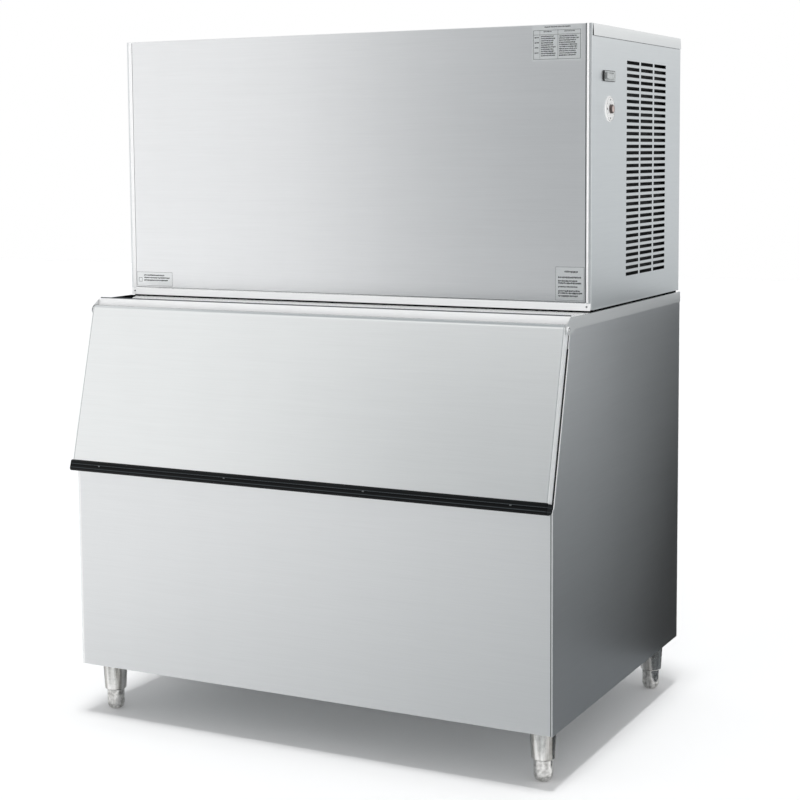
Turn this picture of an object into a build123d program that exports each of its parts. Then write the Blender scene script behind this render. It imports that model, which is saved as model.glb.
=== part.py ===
from build123d import *
import os
from math import atan2, cos, hypot, pi, radians, sin, tan

# A modular cube ice machine: an ice making head that stands on an insulated storage bin.
# The origin is on the floor, under the middle of the machine. X is to the right, the front
# faces -Y and Z is up. Depths are measured forward from the flat back of both housings.

# Overall sizes
head_width = 1220.0
head_depth = 617.0
head_top = 1630.0
bin_margin = 5.0
bin_depth = 847.0
bin_bottom = 123.0
bin_top = 1005.0
knee_height = 605.0
slope_run = 104.0
seal_height = 4.5
sheet = 1.5
seam = 0.6

# Bin walls and openings
insulation = 50.0
liner_wall = 2.0
hem_depth = 12.0
panel_return = 14.0
panel_gap = 1.5
panel_bend = 1.2
frame_thickness = 6.0
mouth_sill = 40.0
frame_drop = 5.0
chute_margin = 36.0
chute_back = 345.0
chute_front = 500.0
drain_rise = 25.0
drain_radius = 13.0
drain_bore = 10.0
drain_flange = 8.0

# Hinge rail and rim
rail_thickness = 6.0
rail_bottom = 993.0
rail_top = 1007.0
rim_drop = 26.0
rim_groove = 4.5
rim_lip = 14.0
ear_radius = 12.0

# Door
gasket_thickness = 4.2
door_gap = 0.3
door_thickness = 22.0
door_foot = 16.0
hinge_drop = 29.3
gasket_drop = 8.0
door_end_gap = 2.0
pin_radius = 4.0
pin_play = 0.06
pin_head_radius = 6.75
pin_head_height = 2.5
pin_reach = 18.0
pivot_block = 24.0
plug_depth = 20.0
plug_margin = 10.0
plug_draft = 12.0
handle_proud = 7.0
handle_tail = 8.0
handle_lip = 2.0
groove_depth = 2.0
groove_width = 3.0
cap_thickness = 2.0

# Feet
foot_inset_side = 49.0
foot_inset_front = 66.0
foot_inset_back = 61.0
sleeve_radius = 30.0
sleeve_end_radius = 26.0
sleeve_bottom = 49.0
sleeve_chamfer = 3.0
foot_radius = 21.0
foot_flat_radius = 12.0
foot_cheek_radius = 18.0
foot_cheek = 4.5
foot_nose = 14.0
stem_radius = 8.0
stem_play = 0.06
stem_length = 55.0
foot_gap = 0.3

# Head panels
corner_flange = 13.0
base_rail_height = 17.0
lid_drop = 26.0
louvre_rows = 34
louvre_pitch = 14.6
louvre_height = 7.0
louvre_length = 85.0
louvre_columns = 3
louvre_column_pitch = 96.5
louvre_set_back = 364.0
louvre_centre_height = 1314.5
vent_rows = 12
vent_columns = 3
vent_length = 90.0
vent_height = 8.0
vent_pitch = 26.0
vent_column_pitch = 110.0
vent_inset = 230.0
vent_centre_height = 1400.0

# Switch and dial on the right side
switch_set_back = 105.0
switch_height = 1520.0
switch_length = 72.0
switch_tall = 24.0
bezel_proud = 3.0
rocker_length = 58.0
rocker_tall = 13.0
rocker_rise = 5.5
rocker_dip = 2.6
rocker_gap = 0.8
rocker_tilt = 7.0
rocker_pivot_inset = 1.0
rocker_pin_radius = 1.5
rocker_pin_hold = 1.0
rocker_well = 12.0
bezel_round = 5.0
switch_body_depth = 22.0
dial_set_back = 110.0
dial_height = 1448.0
dial_radius = 28.5
dial_thickness = 3.0
knob_radius = 10.0
knob_length = 6.0
knob_edge = 1.5
knob_mark = 1.5
knob_lift = 0.3
shaft_radius = 3.0
shaft_length = 14.0
control_play = 0.06

# Ice making parts in the head
wet_margin = 106.0
pump_bay = 155.0
machine_bay = 445.0
cell = 31.0
cell_web = 5.0
cell_rows = 9
cell_depth = 13.0
evaporator_back = 1.6
evaporator_bottom = 1155.0
evaporator_depth = 307.0
coil_radius = 5.0
coil_passes = 4
bracket_thickness = 3.0
bracket_front = 388.0
bracket_rear = 200.0
bracket_top = 1530.0
curtain_depth = 378.0
curtain_hinge = 1505.0
curtain_bottom = 1140.0
curtain_thickness = 3.0
curtain_pin = 4.0
curtain_side_gap = 4.0
distributor_radius = 12.5
distributor_lift = 22.0
trough_wall = 2.5
trough_height = 85.0
trough_back = 225.0
trough_front = 338.0
trough_gap = 35.0
fitting_reach = 22.0

# Refrigeration parts in the head
condenser_thickness = 26.0
condenser_margin = 24.0
condenser_fins = 26
fan_radius = 148.0
fan_hub_radius = 32.0
fan_blades = 5
fan_clearance = 8.0
shroud_plate = 2.0
fan_height = 1330.0
motor_radius = 42.0
motor_shaft = 4.0
bridge_gap = 1.0
compressor_radius = 78.0
compressor_height = 215.0
compressor_gap = 165.0
compressor_depth = 330.0

head_half = head_width / 2
width = head_width + 2 * bin_margin
half = width / 2
slope_length = hypot(slope_run, bin_top - knee_height)
door_pivot = slope_length - hinge_drop
gasket_head = door_pivot - gasket_drop
rail_back = bin_depth - slope_run
mouth_header = bin_top - insulation
slant = atan2(slope_run, bin_top - knee_height)
slant_cos = cos(slant)
slant_sin = sin(slant)
gasket_face = gasket_thickness + door_gap
door_face = gasket_face + door_thickness
handle_front = door_face + handle_proud
handle_reach = handle_front * slant_cos + handle_tail / 2 * slant_sin
back_y = (bin_depth + handle_reach - fitting_reach) / 2
knee_y = back_y - bin_depth
side_outer = half - sheet
side_inner = side_outer - sheet
panel_half = side_outer - 2 * sheet - panel_gap
rim_front = rail_back - rim_groove
under_rim = bin_top - sheet
lip_bottom = under_rim - rim_lip
cavity_half = half - insulation
head_bottom = bin_top + seal_height
head_floor = head_bottom + sheet
head_inner = head_half - sheet
partition_x = head_half - machine_bay
cell_pitch = cell + cell_web
evaporator_left = wet_margin - head_half
cell_columns = int((partition_x - evaporator_left - cell_web - pump_bay) / cell_pitch)
evaporator_width = cell_columns * cell_pitch + cell_web
evaporator_right = evaporator_left + evaporator_width
chute_left = evaporator_left - chute_margin
chute_right = evaporator_right + chute_margin


def from_back(depth):
    """y of a point the given depth in front of the back."""
    return back_y - depth


def on_slope(up, out):
    """(y, z) of a point up the slanted front and out from its face."""
    return (
        knee_y + up * slant_sin - out * slant_cos,
        knee_height + up * slant_cos + out * slant_sin,
    )


def slope_at(height, out=0.0):
    """(y, z) where the slanted face, moved out, reaches a height."""
    return on_slope((height - knee_height - out * slant_sin) / slant_cos, out)


def front_knee(inset):
    """(y, z) where the lower front and the slanted front meet, both moved in."""
    return on_slope(inset * (1 - slant_cos) / slant_sin, -inset)


def on_fold(edge):
    """True for the outer edge of a bin side along its lower and slanted front."""
    middle = edge.center()
    slanted = Vector(middle.X, *slope_at(middle.Z))
    on_outside = abs(abs(middle.X) - side_outer) < panel_bend
    along_face = abs(edge.tangent_at(0.5).X) < slant_sin
    at_front = abs(middle.Y - knee_y) < panel_bend or (middle - slanted).length < panel_bend
    return on_outside and along_face and at_front


def save(piece, label):
    """Names a finished piece and writes it to its own file."""
    piece.part.label = label
    export_step(piece.part, f"parts/{label}.step")


os.makedirs("parts", exist_ok=True)
pivot_out = gasket_face + door_thickness / 2
pivot_y, pivot_z = on_slope(door_pivot, pivot_out)
slope_plane = Plane(origin=(0, knee_y, knee_height), x_dir=(1, 0, 0), z_dir=(0, -slant_cos, slant_sin))
door_section = Plane(origin=(0, knee_y, knee_height), x_dir=(0, -slant_cos, slant_sin), z_dir=(-1, 0, 0))
sides = (("left", -1), ("right", 1))

# Bin side panels: one folded sheet each, with a hem along the lower and slanted front edges.
for hand, sign in sides:
    outline = [
        (back_y, bin_bottom),
        (back_y, under_rim),
        (from_back(rail_back), under_rim),
        (from_back(rail_back), rail_bottom),
        slope_at(rail_bottom),
        (knee_y, knee_height),
        (knee_y, bin_bottom),
    ]
    hem = [
        (knee_y, bin_bottom),
        (knee_y, knee_height),
        slope_at(rail_bottom),
        slope_at(rail_bottom, -hem_depth),
        front_knee(hem_depth),
        (knee_y + hem_depth, bin_bottom),
    ]
    with BuildPart() as bin_side:
        with BuildSketch(Plane.YZ.offset(sign * side_inner)):
            Polygon(*outline, align=None)
        extrude(amount=sign * sheet)
        with BuildSketch(Plane.YZ.offset(sign * (side_inner - sheet))):
            Polygon(*hem, align=None)
        extrude(amount=sign * 2 * sheet)
        fillet(bin_side.edges().filter_by(on_fold), panel_bend)
    save(bin_side, f"bin_side_{hand}")

# Lower front panel: a shallow pan with all four edges folded back.
front_panel_top = knee_height - frame_thickness
with BuildPart() as bin_front:
    with BuildSketch(Plane.XZ.offset(-knee_y - panel_return)):
        with Locations((0, (bin_bottom + front_panel_top) / 2)):
            Rectangle(2 * panel_half, front_panel_top - bin_bottom)
    extrude(amount=panel_return)
    fillet(bin_front.faces().sort_by(Axis.Y)[0].edges(), panel_bend)
    offset(amount=-sheet, openings=bin_front.faces().sort_by(Axis.Y)[-1])
save(bin_front, "bin_front_panel")

# Bin back and base: flat sheets between the side panels.
drain_height = bin_bottom + insulation + drain_rise
with BuildPart() as bin_back:
    with BuildSketch(Plane.XZ.offset(-back_y)):
        with Locations((0, (bin_bottom + under_rim) / 2)):
            Rectangle(2 * side_inner, under_rim - bin_bottom)
        with Locations((0, drain_height)):
            Circle(drain_radius, mode=Mode.SUBTRACT)
    extrude(amount=sheet)
save(bin_back, "bin_back_panel")

base_front = bin_depth - panel_return
with BuildPart() as bin_base:
    with BuildSketch(Plane.XY.offset(bin_bottom)):
        with Locations((0, from_back((sheet + base_front) / 2))):
            Rectangle(2 * side_inner, base_front - sheet)
    extrude(amount=sheet)
save(bin_base, "bin_base")

# Foam: a board on the base, and walls poured on it between the casing and the liner. It has
# the outer shape of one and the cavity of the other, with the throat for falling ice and the
# bore of the drain.
board_seam = 0.3
floor_height = bin_bottom + sheet + insulation
sill = on_slope(mouth_sill, -frame_thickness)
front_inner_y = knee_y + insulation
cavity = [
    (from_back(insulation), floor_height),
    (front_inner_y, floor_height),
    (front_inner_y, sill[1] - (front_inner_y - sill[0]) * tan(slant)),
    sill,
    slope_at(mouth_header, -frame_thickness),
    (from_back(insulation), mouth_header),
]
chute_width = chute_right - chute_left
chute_length = chute_front - chute_back
chute_x = (chute_left + chute_right) / 2
chute_y = from_back((chute_front + chute_back) / 2)
foam_bottom = bin_bottom + sheet
with BuildPart() as foam:
    with BuildSketch(Plane.YZ):
        Polygon(
            (from_back(sheet), foam_bottom),
            (from_back(sheet), under_rim),
            (slope_at(lip_bottom, -panel_return)[0], under_rim),
            slope_at(lip_bottom, -panel_return),
            front_knee(panel_return),
            (knee_y + panel_return, foam_bottom),
            align=None,
        )
    extrude(amount=side_inner, both=True)
    with BuildSketch(Plane.XZ.offset(-knee_y - panel_return)):
        with Locations((0, (foam_bottom + front_panel_top - sheet) / 2)):
            Rectangle(2 * (panel_half - sheet), front_panel_top - sheet - foam_bottom)
    extrude(amount=panel_return - sheet)
    with BuildSketch(Plane.YZ):
        Polygon(
            (knee_y + frame_thickness, front_panel_top),
            front_knee(frame_thickness),
            slope_at(lip_bottom, -frame_thickness),
            slope_at(lip_bottom, -panel_return),
            front_knee(panel_return),
            (knee_y + panel_return, front_panel_top),
            align=None,
        )
    extrude(amount=panel_half, both=True)
    with BuildSketch(Plane.YZ):
        Polygon(*cavity, align=None)
    extrude(amount=cavity_half, both=True, mode=Mode.SUBTRACT)
    with BuildSketch(Plane.XY.offset(mouth_header)):
        with Locations((chute_x, chute_y)):
            Rectangle(chute_width, chute_length)
    extrude(amount=insulation, mode=Mode.SUBTRACT)
    with BuildSketch(Plane.XY.offset(floor_height)):
        with Locations((0, from_back(bin_depth / 2))):
            Rectangle(width, bin_depth)
    extrude(amount=board_seam, mode=Mode.SUBTRACT)
    with Locations(Plane.XZ.offset(-back_y) * Location((0, drain_height, 0))):
        Cylinder(
            drain_radius,
            insulation,
            align=(Align.CENTER, Align.CENTER, Align.MIN),
            mode=Mode.SUBTRACT,
        )
save(foam, "bin_foam")

# Liner: a moulded white tub, open at the slanted mouth, with a collar for the falling ice.
with BuildPart() as liner:
    with BuildSketch(Plane.YZ):
        Polygon(*cavity, align=None)
    extrude(amount=cavity_half, both=True)
    mouth_face = liner.faces().sort_by(Axis(slope_plane.origin, slope_plane.z_dir))[-1]
    offset(amount=-liner_wall, openings=mouth_face)
    with BuildSketch(Plane.XY.offset(mouth_header)):
        with Locations((chute_x, chute_y)):
            Rectangle(chute_width, chute_length)
    extrude(amount=under_rim - mouth_header)
    with BuildSketch(Plane.XY.offset(mouth_header - liner_wall)):
        with Locations((chute_x, chute_y)):
            Rectangle(chute_width - 2 * liner_wall, chute_length - 2 * liner_wall)
    extrude(amount=under_rim - mouth_header + liner_wall, mode=Mode.SUBTRACT)
    with Locations(Plane.XZ.offset(-back_y) * Location((0, drain_height, 0))):
        Cylinder(
            drain_radius,
            insulation + liner_wall,
            align=(Align.CENTER, Align.CENTER, Align.MIN),
            mode=Mode.SUBTRACT,
        )
save(liner, "bin_liner")

# Bin drain: a flanged spigot from the liner out through the back.
flange_radius = drain_radius + drain_flange
flange_thickness = 3.0
drain_inner = from_back(insulation + liner_wall)
with BuildPart() as bin_drain:
    with BuildSketch(Plane.YZ):
        with Locations((0, drain_height)):
            Polygon(
                (drain_inner - flange_thickness, drain_bore),
                (drain_inner - flange_thickness, flange_radius),
                (drain_inner, flange_radius),
                (drain_inner, drain_radius),
                (back_y, drain_radius),
                (back_y, flange_radius),
                (back_y + 2 * flange_thickness, flange_radius),
                (back_y + 2 * flange_thickness, drain_radius),
                (back_y + fitting_reach, drain_radius),
                (back_y + fitting_reach, drain_bore),
                align=None,
            )
    revolve(axis=Axis((0, 0, drain_height), (0, 1, 0)))
save(bin_drain, "bin_drain")

# Mouth frame: the black moulded frame round the slanted opening, up to behind the hinge rail.
frame_top = bin_top - frame_drop
with BuildPart() as mouth_frame:
    with BuildSketch(Plane.YZ):
        Polygon(
            (knee_y, front_panel_top + seam),
            (knee_y, knee_height),
            slope_at(rail_bottom),
            (from_back(rail_back), rail_bottom),
            (from_back(rail_back), frame_top),
            (from_back(rim_front), frame_top),
            slope_at(rail_bottom, -frame_thickness),
            front_knee(frame_thickness),
            (knee_y + frame_thickness, front_panel_top + seam),
            align=None,
        )
    extrude(amount=panel_half, both=True)
    opening_half = cavity_half - liner_wall
    opening_top = (mouth_header - liner_wall - knee_height) / slant_cos
    opening_bottom = mouth_sill + liner_wall
    with BuildSketch(slope_plane.offset(-2 * frame_thickness)):
        with Locations((0, (opening_bottom + opening_top) / 2)):
            Rectangle(2 * opening_half, opening_top - opening_bottom)
    extrude(amount=3 * frame_thickness, mode=Mode.SUBTRACT)
save(mouth_frame, "mouth_frame")

# Door gasket: a soft black ring on the mouth frame that the closed door rests against.
gasket_foot = frame_thickness
gasket_round = 1.2
with BuildPart() as gasket:
    with BuildSketch(slope_plane):
        with Locations((0, (gasket_foot + gasket_head) / 2)):
            Rectangle(2 * panel_half, gasket_head - gasket_foot)
        with Locations((0, (opening_bottom + opening_top) / 2)):
            Rectangle(2 * opening_half, opening_top - opening_bottom, mode=Mode.SUBTRACT)
    extrude(amount=gasket_thickness)
    top_face = gasket.faces().sort_by(Axis(slope_plane.origin, slope_plane.z_dir))[-1]
    chamfer(top_face.outer_wire().edges(), gasket_round)
save(gasket, "door_gasket")

# Top rim: the sheet that covers the bin, folded down at the sides into the two hinge ears.
with BuildPart() as rim:
    with BuildSketch(Plane.XY.offset(under_rim)):
        with Locations((0, from_back(rim_front / 2))):
            Rectangle(width, rim_front)
        with Locations((chute_x, chute_y)):
            Rectangle(
                chute_width - 2 * liner_wall, chute_length - 2 * liner_wall, mode=Mode.SUBTRACT
            )
    extrude(amount=sheet)
    with BuildSketch(Plane.XZ.offset(-from_back(rim_front - sheet))):
        with Locations((0, under_rim)):
            Rectangle(2 * panel_half, rim_lip, align=(Align.CENTER, Align.MAX))
    extrude(amount=sheet)
    for hand, sign in sides:
        with BuildSketch(Plane.YZ.offset(sign * side_outer)):
            with Locations((back_y, bin_top)):
                Rectangle(rail_back + rail_thickness, rim_drop, align=(Align.MAX, Align.MAX))
        extrude(amount=sign * sheet)
        with BuildSketch(Plane.YZ.offset(sign * side_outer)):
            with Locations((from_back(rail_back + rail_thickness), bin_top)):
                Rectangle(sheet, sheet, align=(Align.MIN, Align.MAX))
            with Locations((from_back(rail_back - ear_radius), pivot_z)):
                Circle(ear_radius / 2)
            with Locations((pivot_y, pivot_z)):
                Circle(ear_radius)
            make_hull()
        extrude(amount=sign * sheet)
    with BuildSketch(Plane.YZ.offset(-half)):
        with Locations((pivot_y, pivot_z)):
            Circle(pin_radius + pin_play)
    extrude(amount=width, mode=Mode.SUBTRACT)
save(rim, "bin_top_rim")

# Hinge rail: the bright bar across the top of the door.
rail_half = side_outer - seam
rail_round = 1.5
with BuildPart() as rail:
    with BuildSketch(Plane.YZ):
        with Locations((from_back(rail_back + rail_thickness / 2), (rail_bottom + rail_top) / 2)):
            Rectangle(rail_thickness, rail_top - rail_bottom)
    extrude(amount=rail_half, both=True)
    rail_front_edges = rail.edges().filter_by(Axis.X).group_by(Axis.Y)[0]
    fillet(rail_front_edges, rail_round)
save(rail, "hinge_rail")

# Hinge pins: two shouldered pins through the ears into the door ends.
with BuildPart() as pins:
    for hand, sign in sides:
        with BuildSketch(Plane.YZ.offset(sign * half)):
            with Locations((pivot_y, pivot_z)):
                Circle(pin_head_radius)
        extrude(amount=sign * pin_head_height)
        outer_face = pins.faces().sort_by(Axis.X)[-1 if sign > 0 else 0]
        chamfer(outer_face.edges(), pin_head_height / 3)
        with BuildSketch(Plane.YZ.offset(sign * half)):
            with Locations((pivot_y, pivot_z)):
                Circle(pin_radius)
        extrude(amount=-sign * (2 * sheet + pin_reach))
save(pins, "hinge_pins")

# Door skin: a stainless pan rolled over at the top round the hinge axis, open at the back.
door_half = side_outer - door_end_gap
inner_round = door_thickness / 2 - sheet
with BuildPart() as door_skin:
    with BuildSketch(door_section):
        with BuildLine():
            Polyline(
                (gasket_face, door_pivot),
                (gasket_face, door_foot),
                (door_face, door_foot),
                (door_face, door_pivot),
            )
            ThreePointArc(
                (door_face, door_pivot),
                (pivot_out, door_pivot + door_thickness / 2),
                (gasket_face, door_pivot),
            )
        make_face()
    extrude(amount=door_half, both=True)
    with BuildSketch(door_section):
        with BuildLine():
            Polyline(
                (pivot_out - inner_round, door_pivot),
                (gasket_face, door_pivot),
                (gasket_face, door_foot + sheet),
                (door_face - sheet, door_foot + sheet),
                (door_face - sheet, door_pivot),
            )
            ThreePointArc(
                (door_face - sheet, door_pivot),
                (pivot_out, door_pivot + inner_round),
                (pivot_out - inner_round, door_pivot),
            )
        make_face()
    extrude(amount=door_half - sheet, both=True, mode=Mode.SUBTRACT)
    with BuildSketch(Plane.YZ.offset(-half)):
        with Locations((pivot_y, pivot_z)):
            Circle(pin_radius + 4 * pin_play)
    extrude(amount=width, mode=Mode.SUBTRACT)
save(door_skin, "door_skin")

# Pivot blocks: moulded blocks in the top corners of the door that turn on the hinge pins.
block_half = door_half - sheet
block_radius = door_thickness / 2 - liner_wall - door_gap
with BuildPart() as blocks:
    for hand, sign in sides:
        with BuildSketch(Plane.YZ.offset(sign * block_half)):
            with Locations((pivot_y, pivot_z)):
                Circle(block_radius)
                Circle(pin_radius + pin_play, mode=Mode.SUBTRACT)
        extrude(amount=-sign * pivot_block)
save(blocks, "door_pivot_blocks")

# Door liner: a white moulded pan with a raised plug that fills the mouth.
pan_foot = door_foot + sheet
pan_head = door_pivot - seam
plug_foot = opening_bottom + plug_margin
plug_head = opening_top - 2 * plug_margin
plug_half = opening_half - plug_margin
with BuildPart() as door_liner:
    with BuildSketch(slope_plane.offset(gasket_face)):
        with Locations((0, (pan_foot + pan_head) / 2)):
            Rectangle(2 * block_half, pan_head - pan_foot)
    extrude(amount=liner_wall)
    with BuildSketch(slope_plane.offset(gasket_face)):
        with Locations((0, (plug_foot + plug_head) / 2)):
            Rectangle(2 * plug_half, plug_head - plug_foot)
    extrude(amount=-plug_depth, taper=plug_draft)
    with BuildSketch(slope_plane.offset(gasket_face + liner_wall)):
        with Locations((0, (plug_foot + plug_head) / 2)):
            Rectangle(2 * (plug_half - liner_wall), plug_head - plug_foot - 2 * liner_wall)
    extrude(amount=-plug_depth, taper=plug_draft, mode=Mode.SUBTRACT)
save(door_liner, "door_liner")

# Door foam: fills the door between the skin, the liner and the pivot blocks.
with BuildPart() as door_foam:
    with BuildSketch(slope_plane.offset(gasket_face + liner_wall)):
        with Locations((0, (pan_foot + door_pivot - pivot_block) / 2)):
            Rectangle(2 * block_half, door_pivot - pivot_block - pan_foot)
    extrude(amount=door_thickness - liner_wall - sheet)
    with BuildSketch(slope_plane.offset(gasket_face + liner_wall)):
        with Locations((0, (plug_foot + plug_head) / 2)):
            Rectangle(2 * (plug_half - liner_wall), plug_head - plug_foot - 2 * liner_wall)
    extrude(amount=-plug_depth, taper=plug_draft)
save(door_foam, "door_foam")

# Handle: a black extrusion along the whole foot of the door, with a lip over the door face
# and a groove along its nose.
nose_back = 4.5
nose_foot = -handle_tail
groove_at = 5.0
with BuildPart() as handle:
    with BuildSketch(door_section):
        Polygon(
            (gasket_face, door_foot),
            (door_face, door_foot),
            (door_face, door_foot + handle_lip),
            (handle_front - 2 * groove_depth, door_foot + handle_lip),
            (handle_front, door_foot - handle_lip),
            (handle_front, groove_at + groove_width),
            (handle_front - groove_depth, groove_at + groove_width),
            (handle_front - groove_depth, groove_at),
            (handle_front, groove_at),
            (handle_front, -handle_tail / 2),
            (handle_front - nose_back, nose_foot),
            (door_face - nose_back, nose_foot),
            (gasket_face + nose_back, -handle_lip),
            (gasket_face, -handle_lip),
            align=None,
        )
    extrude(amount=door_half, both=True)
    nose_edges = [
        edge
        for edge in handle.edges().filter_by(Axis.X)
        if (door_section.to_local_coords(edge.center())).X > handle_front - nose_back - groove_depth / 2
        and abs(door_section.to_local_coords(edge.center()).Y - groove_at - groove_width / 2) > groove_width
    ]
    fillet(nose_edges, groove_depth)
save(handle, "door_handle")

with BuildPart() as handle_caps:
    for hand, sign in sides:
        with BuildSketch(door_section.offset(-sign * door_half)):
            Polygon(
                (gasket_face, -handle_lip),
                (gasket_face, door_foot),
                (handle_front - groove_depth, door_foot),
                (handle_front - groove_depth / 2, -handle_tail / 2),
                (handle_front - nose_back, nose_foot),
                (door_face - nose_back, nose_foot),
                align=None,
            )
        extrude(amount=-sign * cap_thickness)
save(handle_caps, "handle_end_caps")

# Feet: a tapered steel sleeve welded under each corner and a screwed bullet foot in it.
foot_x = half - foot_inset_side
foot_places = {
    "front_left": (-foot_x, from_back(bin_depth - foot_inset_front)),
    "front_right": (foot_x, from_back(bin_depth - foot_inset_front)),
    "back_left": (-foot_x, from_back(foot_inset_back)),
    "back_right": (foot_x, from_back(foot_inset_back)),
}
foot_shoulder = sleeve_bottom - foot_gap
stem_top = foot_shoulder + stem_length
for corner, (place_x, place_y) in foot_places.items():
    with BuildPart() as sleeve:
        with BuildSketch(Plane((place_x, place_y, 0), x_dir=(1, 0, 0), z_dir=(0, -1, 0))):
            Polygon(
                (stem_radius + stem_play, sleeve_bottom),
                (sleeve_end_radius - sleeve_chamfer, sleeve_bottom),
                (sleeve_end_radius, sleeve_bottom + sleeve_chamfer),
                (sleeve_radius, bin_bottom),
                (stem_radius + stem_play, bin_bottom),
                align=None,
            )
        revolve(axis=Axis((place_x, place_y, 0), (0, 0, 1)))
    save(sleeve, f"leg_sleeve_{corner}")
    with BuildPart() as foot:
        with BuildSketch(Plane((place_x, place_y, 0), x_dir=(1, 0, 0), z_dir=(0, -1, 0))):
            Polygon(
                (0, 0),
                (foot_flat_radius, 0),
                (foot_cheek_radius, foot_cheek),
                (foot_radius, foot_nose),
                (foot_radius, foot_shoulder),
                (stem_radius, foot_shoulder),
                (stem_radius, stem_top),
                (0, stem_top),
                align=None,
            )
        revolve(axis=Axis((place_x, place_y, 0), (0, 0, 1)))
    save(foot, f"foot_{corner}")

# Head seal: the black strip between the head and the bin.
seal_inset = 5.0
seal_band = 25.0
with BuildPart() as seal:
    with BuildSketch(Plane.XY.offset(bin_top)):
        with Locations((0, from_back(head_depth / 2))):
            Rectangle(head_width - 2 * seal_inset, head_depth - 2 * seal_inset)
            Rectangle(
                head_width - 2 * seal_inset - 2 * seal_band,
                head_depth - 2 * seal_inset - 2 * seal_band,
                mode=Mode.SUBTRACT,
            )
    extrude(amount=seal_height)
save(seal, "head_seal")

# Head base: a pan with the ice opening, and the bright rail under the front panel.
pan_front = head_depth - sheet
corner_x = head_half - corner_flange
rail_edge = corner_x - seam
with BuildPart() as head_base:
    with BuildSketch(Plane.XY.offset(head_bottom)):
        with Locations((0, from_back((pan_front + sheet) / 2))):
            Rectangle(2 * head_inner, pan_front - sheet)
    extrude(amount=base_rail_height - seam)
    offset(amount=-sheet, openings=head_base.faces().sort_by(Axis.Z)[-1])
    with BuildSketch(Plane.XZ.offset(-from_back(pan_front))):
        with Locations((0, head_bottom)):
            Rectangle(2 * rail_edge, base_rail_height - seam, align=(Align.CENTER, Align.MIN))
    extrude(amount=sheet)
    with BuildSketch(Plane.XY.offset(head_bottom)):
        with Locations((chute_x, chute_y)):
            Rectangle(chute_width - 2 * liner_wall, chute_length - 2 * liner_wall)
    extrude(amount=sheet, mode=Mode.SUBTRACT)
save(head_base, "head_base")

# Head side panels: sheets that wrap the front corners; the right one has the louvres, the
# switch and the dial. The lid's flange sits on them.
flange_low = head_top - lid_drop
lid_front = head_depth - panel_return - seam
corner_post = 6.5
switch_y = from_back(head_depth - switch_set_back)
dial_y = from_back(head_depth - dial_set_back)
for hand, sign in sides:
    with BuildPart() as head_side:
        with BuildSketch(Plane.YZ.offset(sign * head_inner)):
            with Locations((back_y, head_bottom)):
                Rectangle(head_depth, flange_low - seam - head_bottom, align=(Align.MAX, Align.MIN))
            with Locations((from_back(head_depth), head_bottom)):
                Rectangle(corner_post, head_top - head_bottom, align=(Align.MIN, Align.MIN))
        extrude(amount=sign * sheet)
        with BuildSketch(Plane.XZ.offset(-from_back(head_depth - sheet))):
            with Locations((sign * (head_half - corner_flange / 2), head_bottom)):
                Rectangle(corner_flange, head_top - head_bottom, align=(Align.CENTER, Align.MIN))
        extrude(amount=sheet)
        corner_edge = (
            head_side.edges()
            .filter_by(Axis.Z)
            .filter_by(lambda edge: abs(abs(edge.center().X) - head_half) < sheet / 2)
            .sort_by(Axis.Y)[0]
        )
        fillet(corner_edge, panel_bend)
        if hand == "right":
            with BuildSketch(Plane.YZ.offset(head_inner)):
                with Locations((from_back(head_depth - louvre_set_back), louvre_centre_height)):
                    with GridLocations(louvre_column_pitch, louvre_pitch, louvre_columns, louvre_rows):
                        Rectangle(louvre_length, louvre_height)
                with Locations((switch_y, switch_height)):
                    Rectangle(switch_length - 4 * sheet, switch_tall - 4 * sheet)
                with Locations((dial_y, dial_height)):
                    Circle(shaft_radius + 2 * sheet)
            extrude(amount=sheet, mode=Mode.SUBTRACT)
    save(head_side, f"head_side_{hand}")

# Head front panel: one broad pan between the corner flanges, up to the top.
panel_foot = head_bottom + base_rail_height
front_half = corner_x - panel_gap
with BuildPart() as head_front:
    with BuildSketch(Plane.XZ.offset(-from_back(head_depth - panel_return))):
        with Locations((0, panel_foot)):
            Rectangle(2 * front_half, head_top - panel_foot, align=(Align.CENTER, Align.MIN))
    extrude(amount=panel_return)
    fillet(head_front.faces().sort_by(Axis.Y)[0].edges(), panel_bend)
    offset(amount=-sheet, openings=head_front.faces().sort_by(Axis.Y)[-1])
save(head_front, "head_front_panel")

# Lid: a flat sheet with a flange down each side.
with BuildPart() as lid:
    with BuildSketch(Plane.XZ.offset(-back_y)):
        with Locations((0, head_top)):
            Rectangle(head_width, lid_drop, align=(Align.CENTER, Align.MAX))
            Rectangle(2 * head_inner, lid_drop, align=(Align.CENTER, Align.MAX), mode=Mode.SUBTRACT)
    extrude(amount=head_depth - corner_post - seam)
    with BuildSketch(Plane.XY.offset(head_top - sheet)):
        with Locations((0, from_back(lid_front / 2))):
            Rectangle(head_width, lid_front)
    extrude(amount=sheet)
save(lid, "head_lid")

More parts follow.
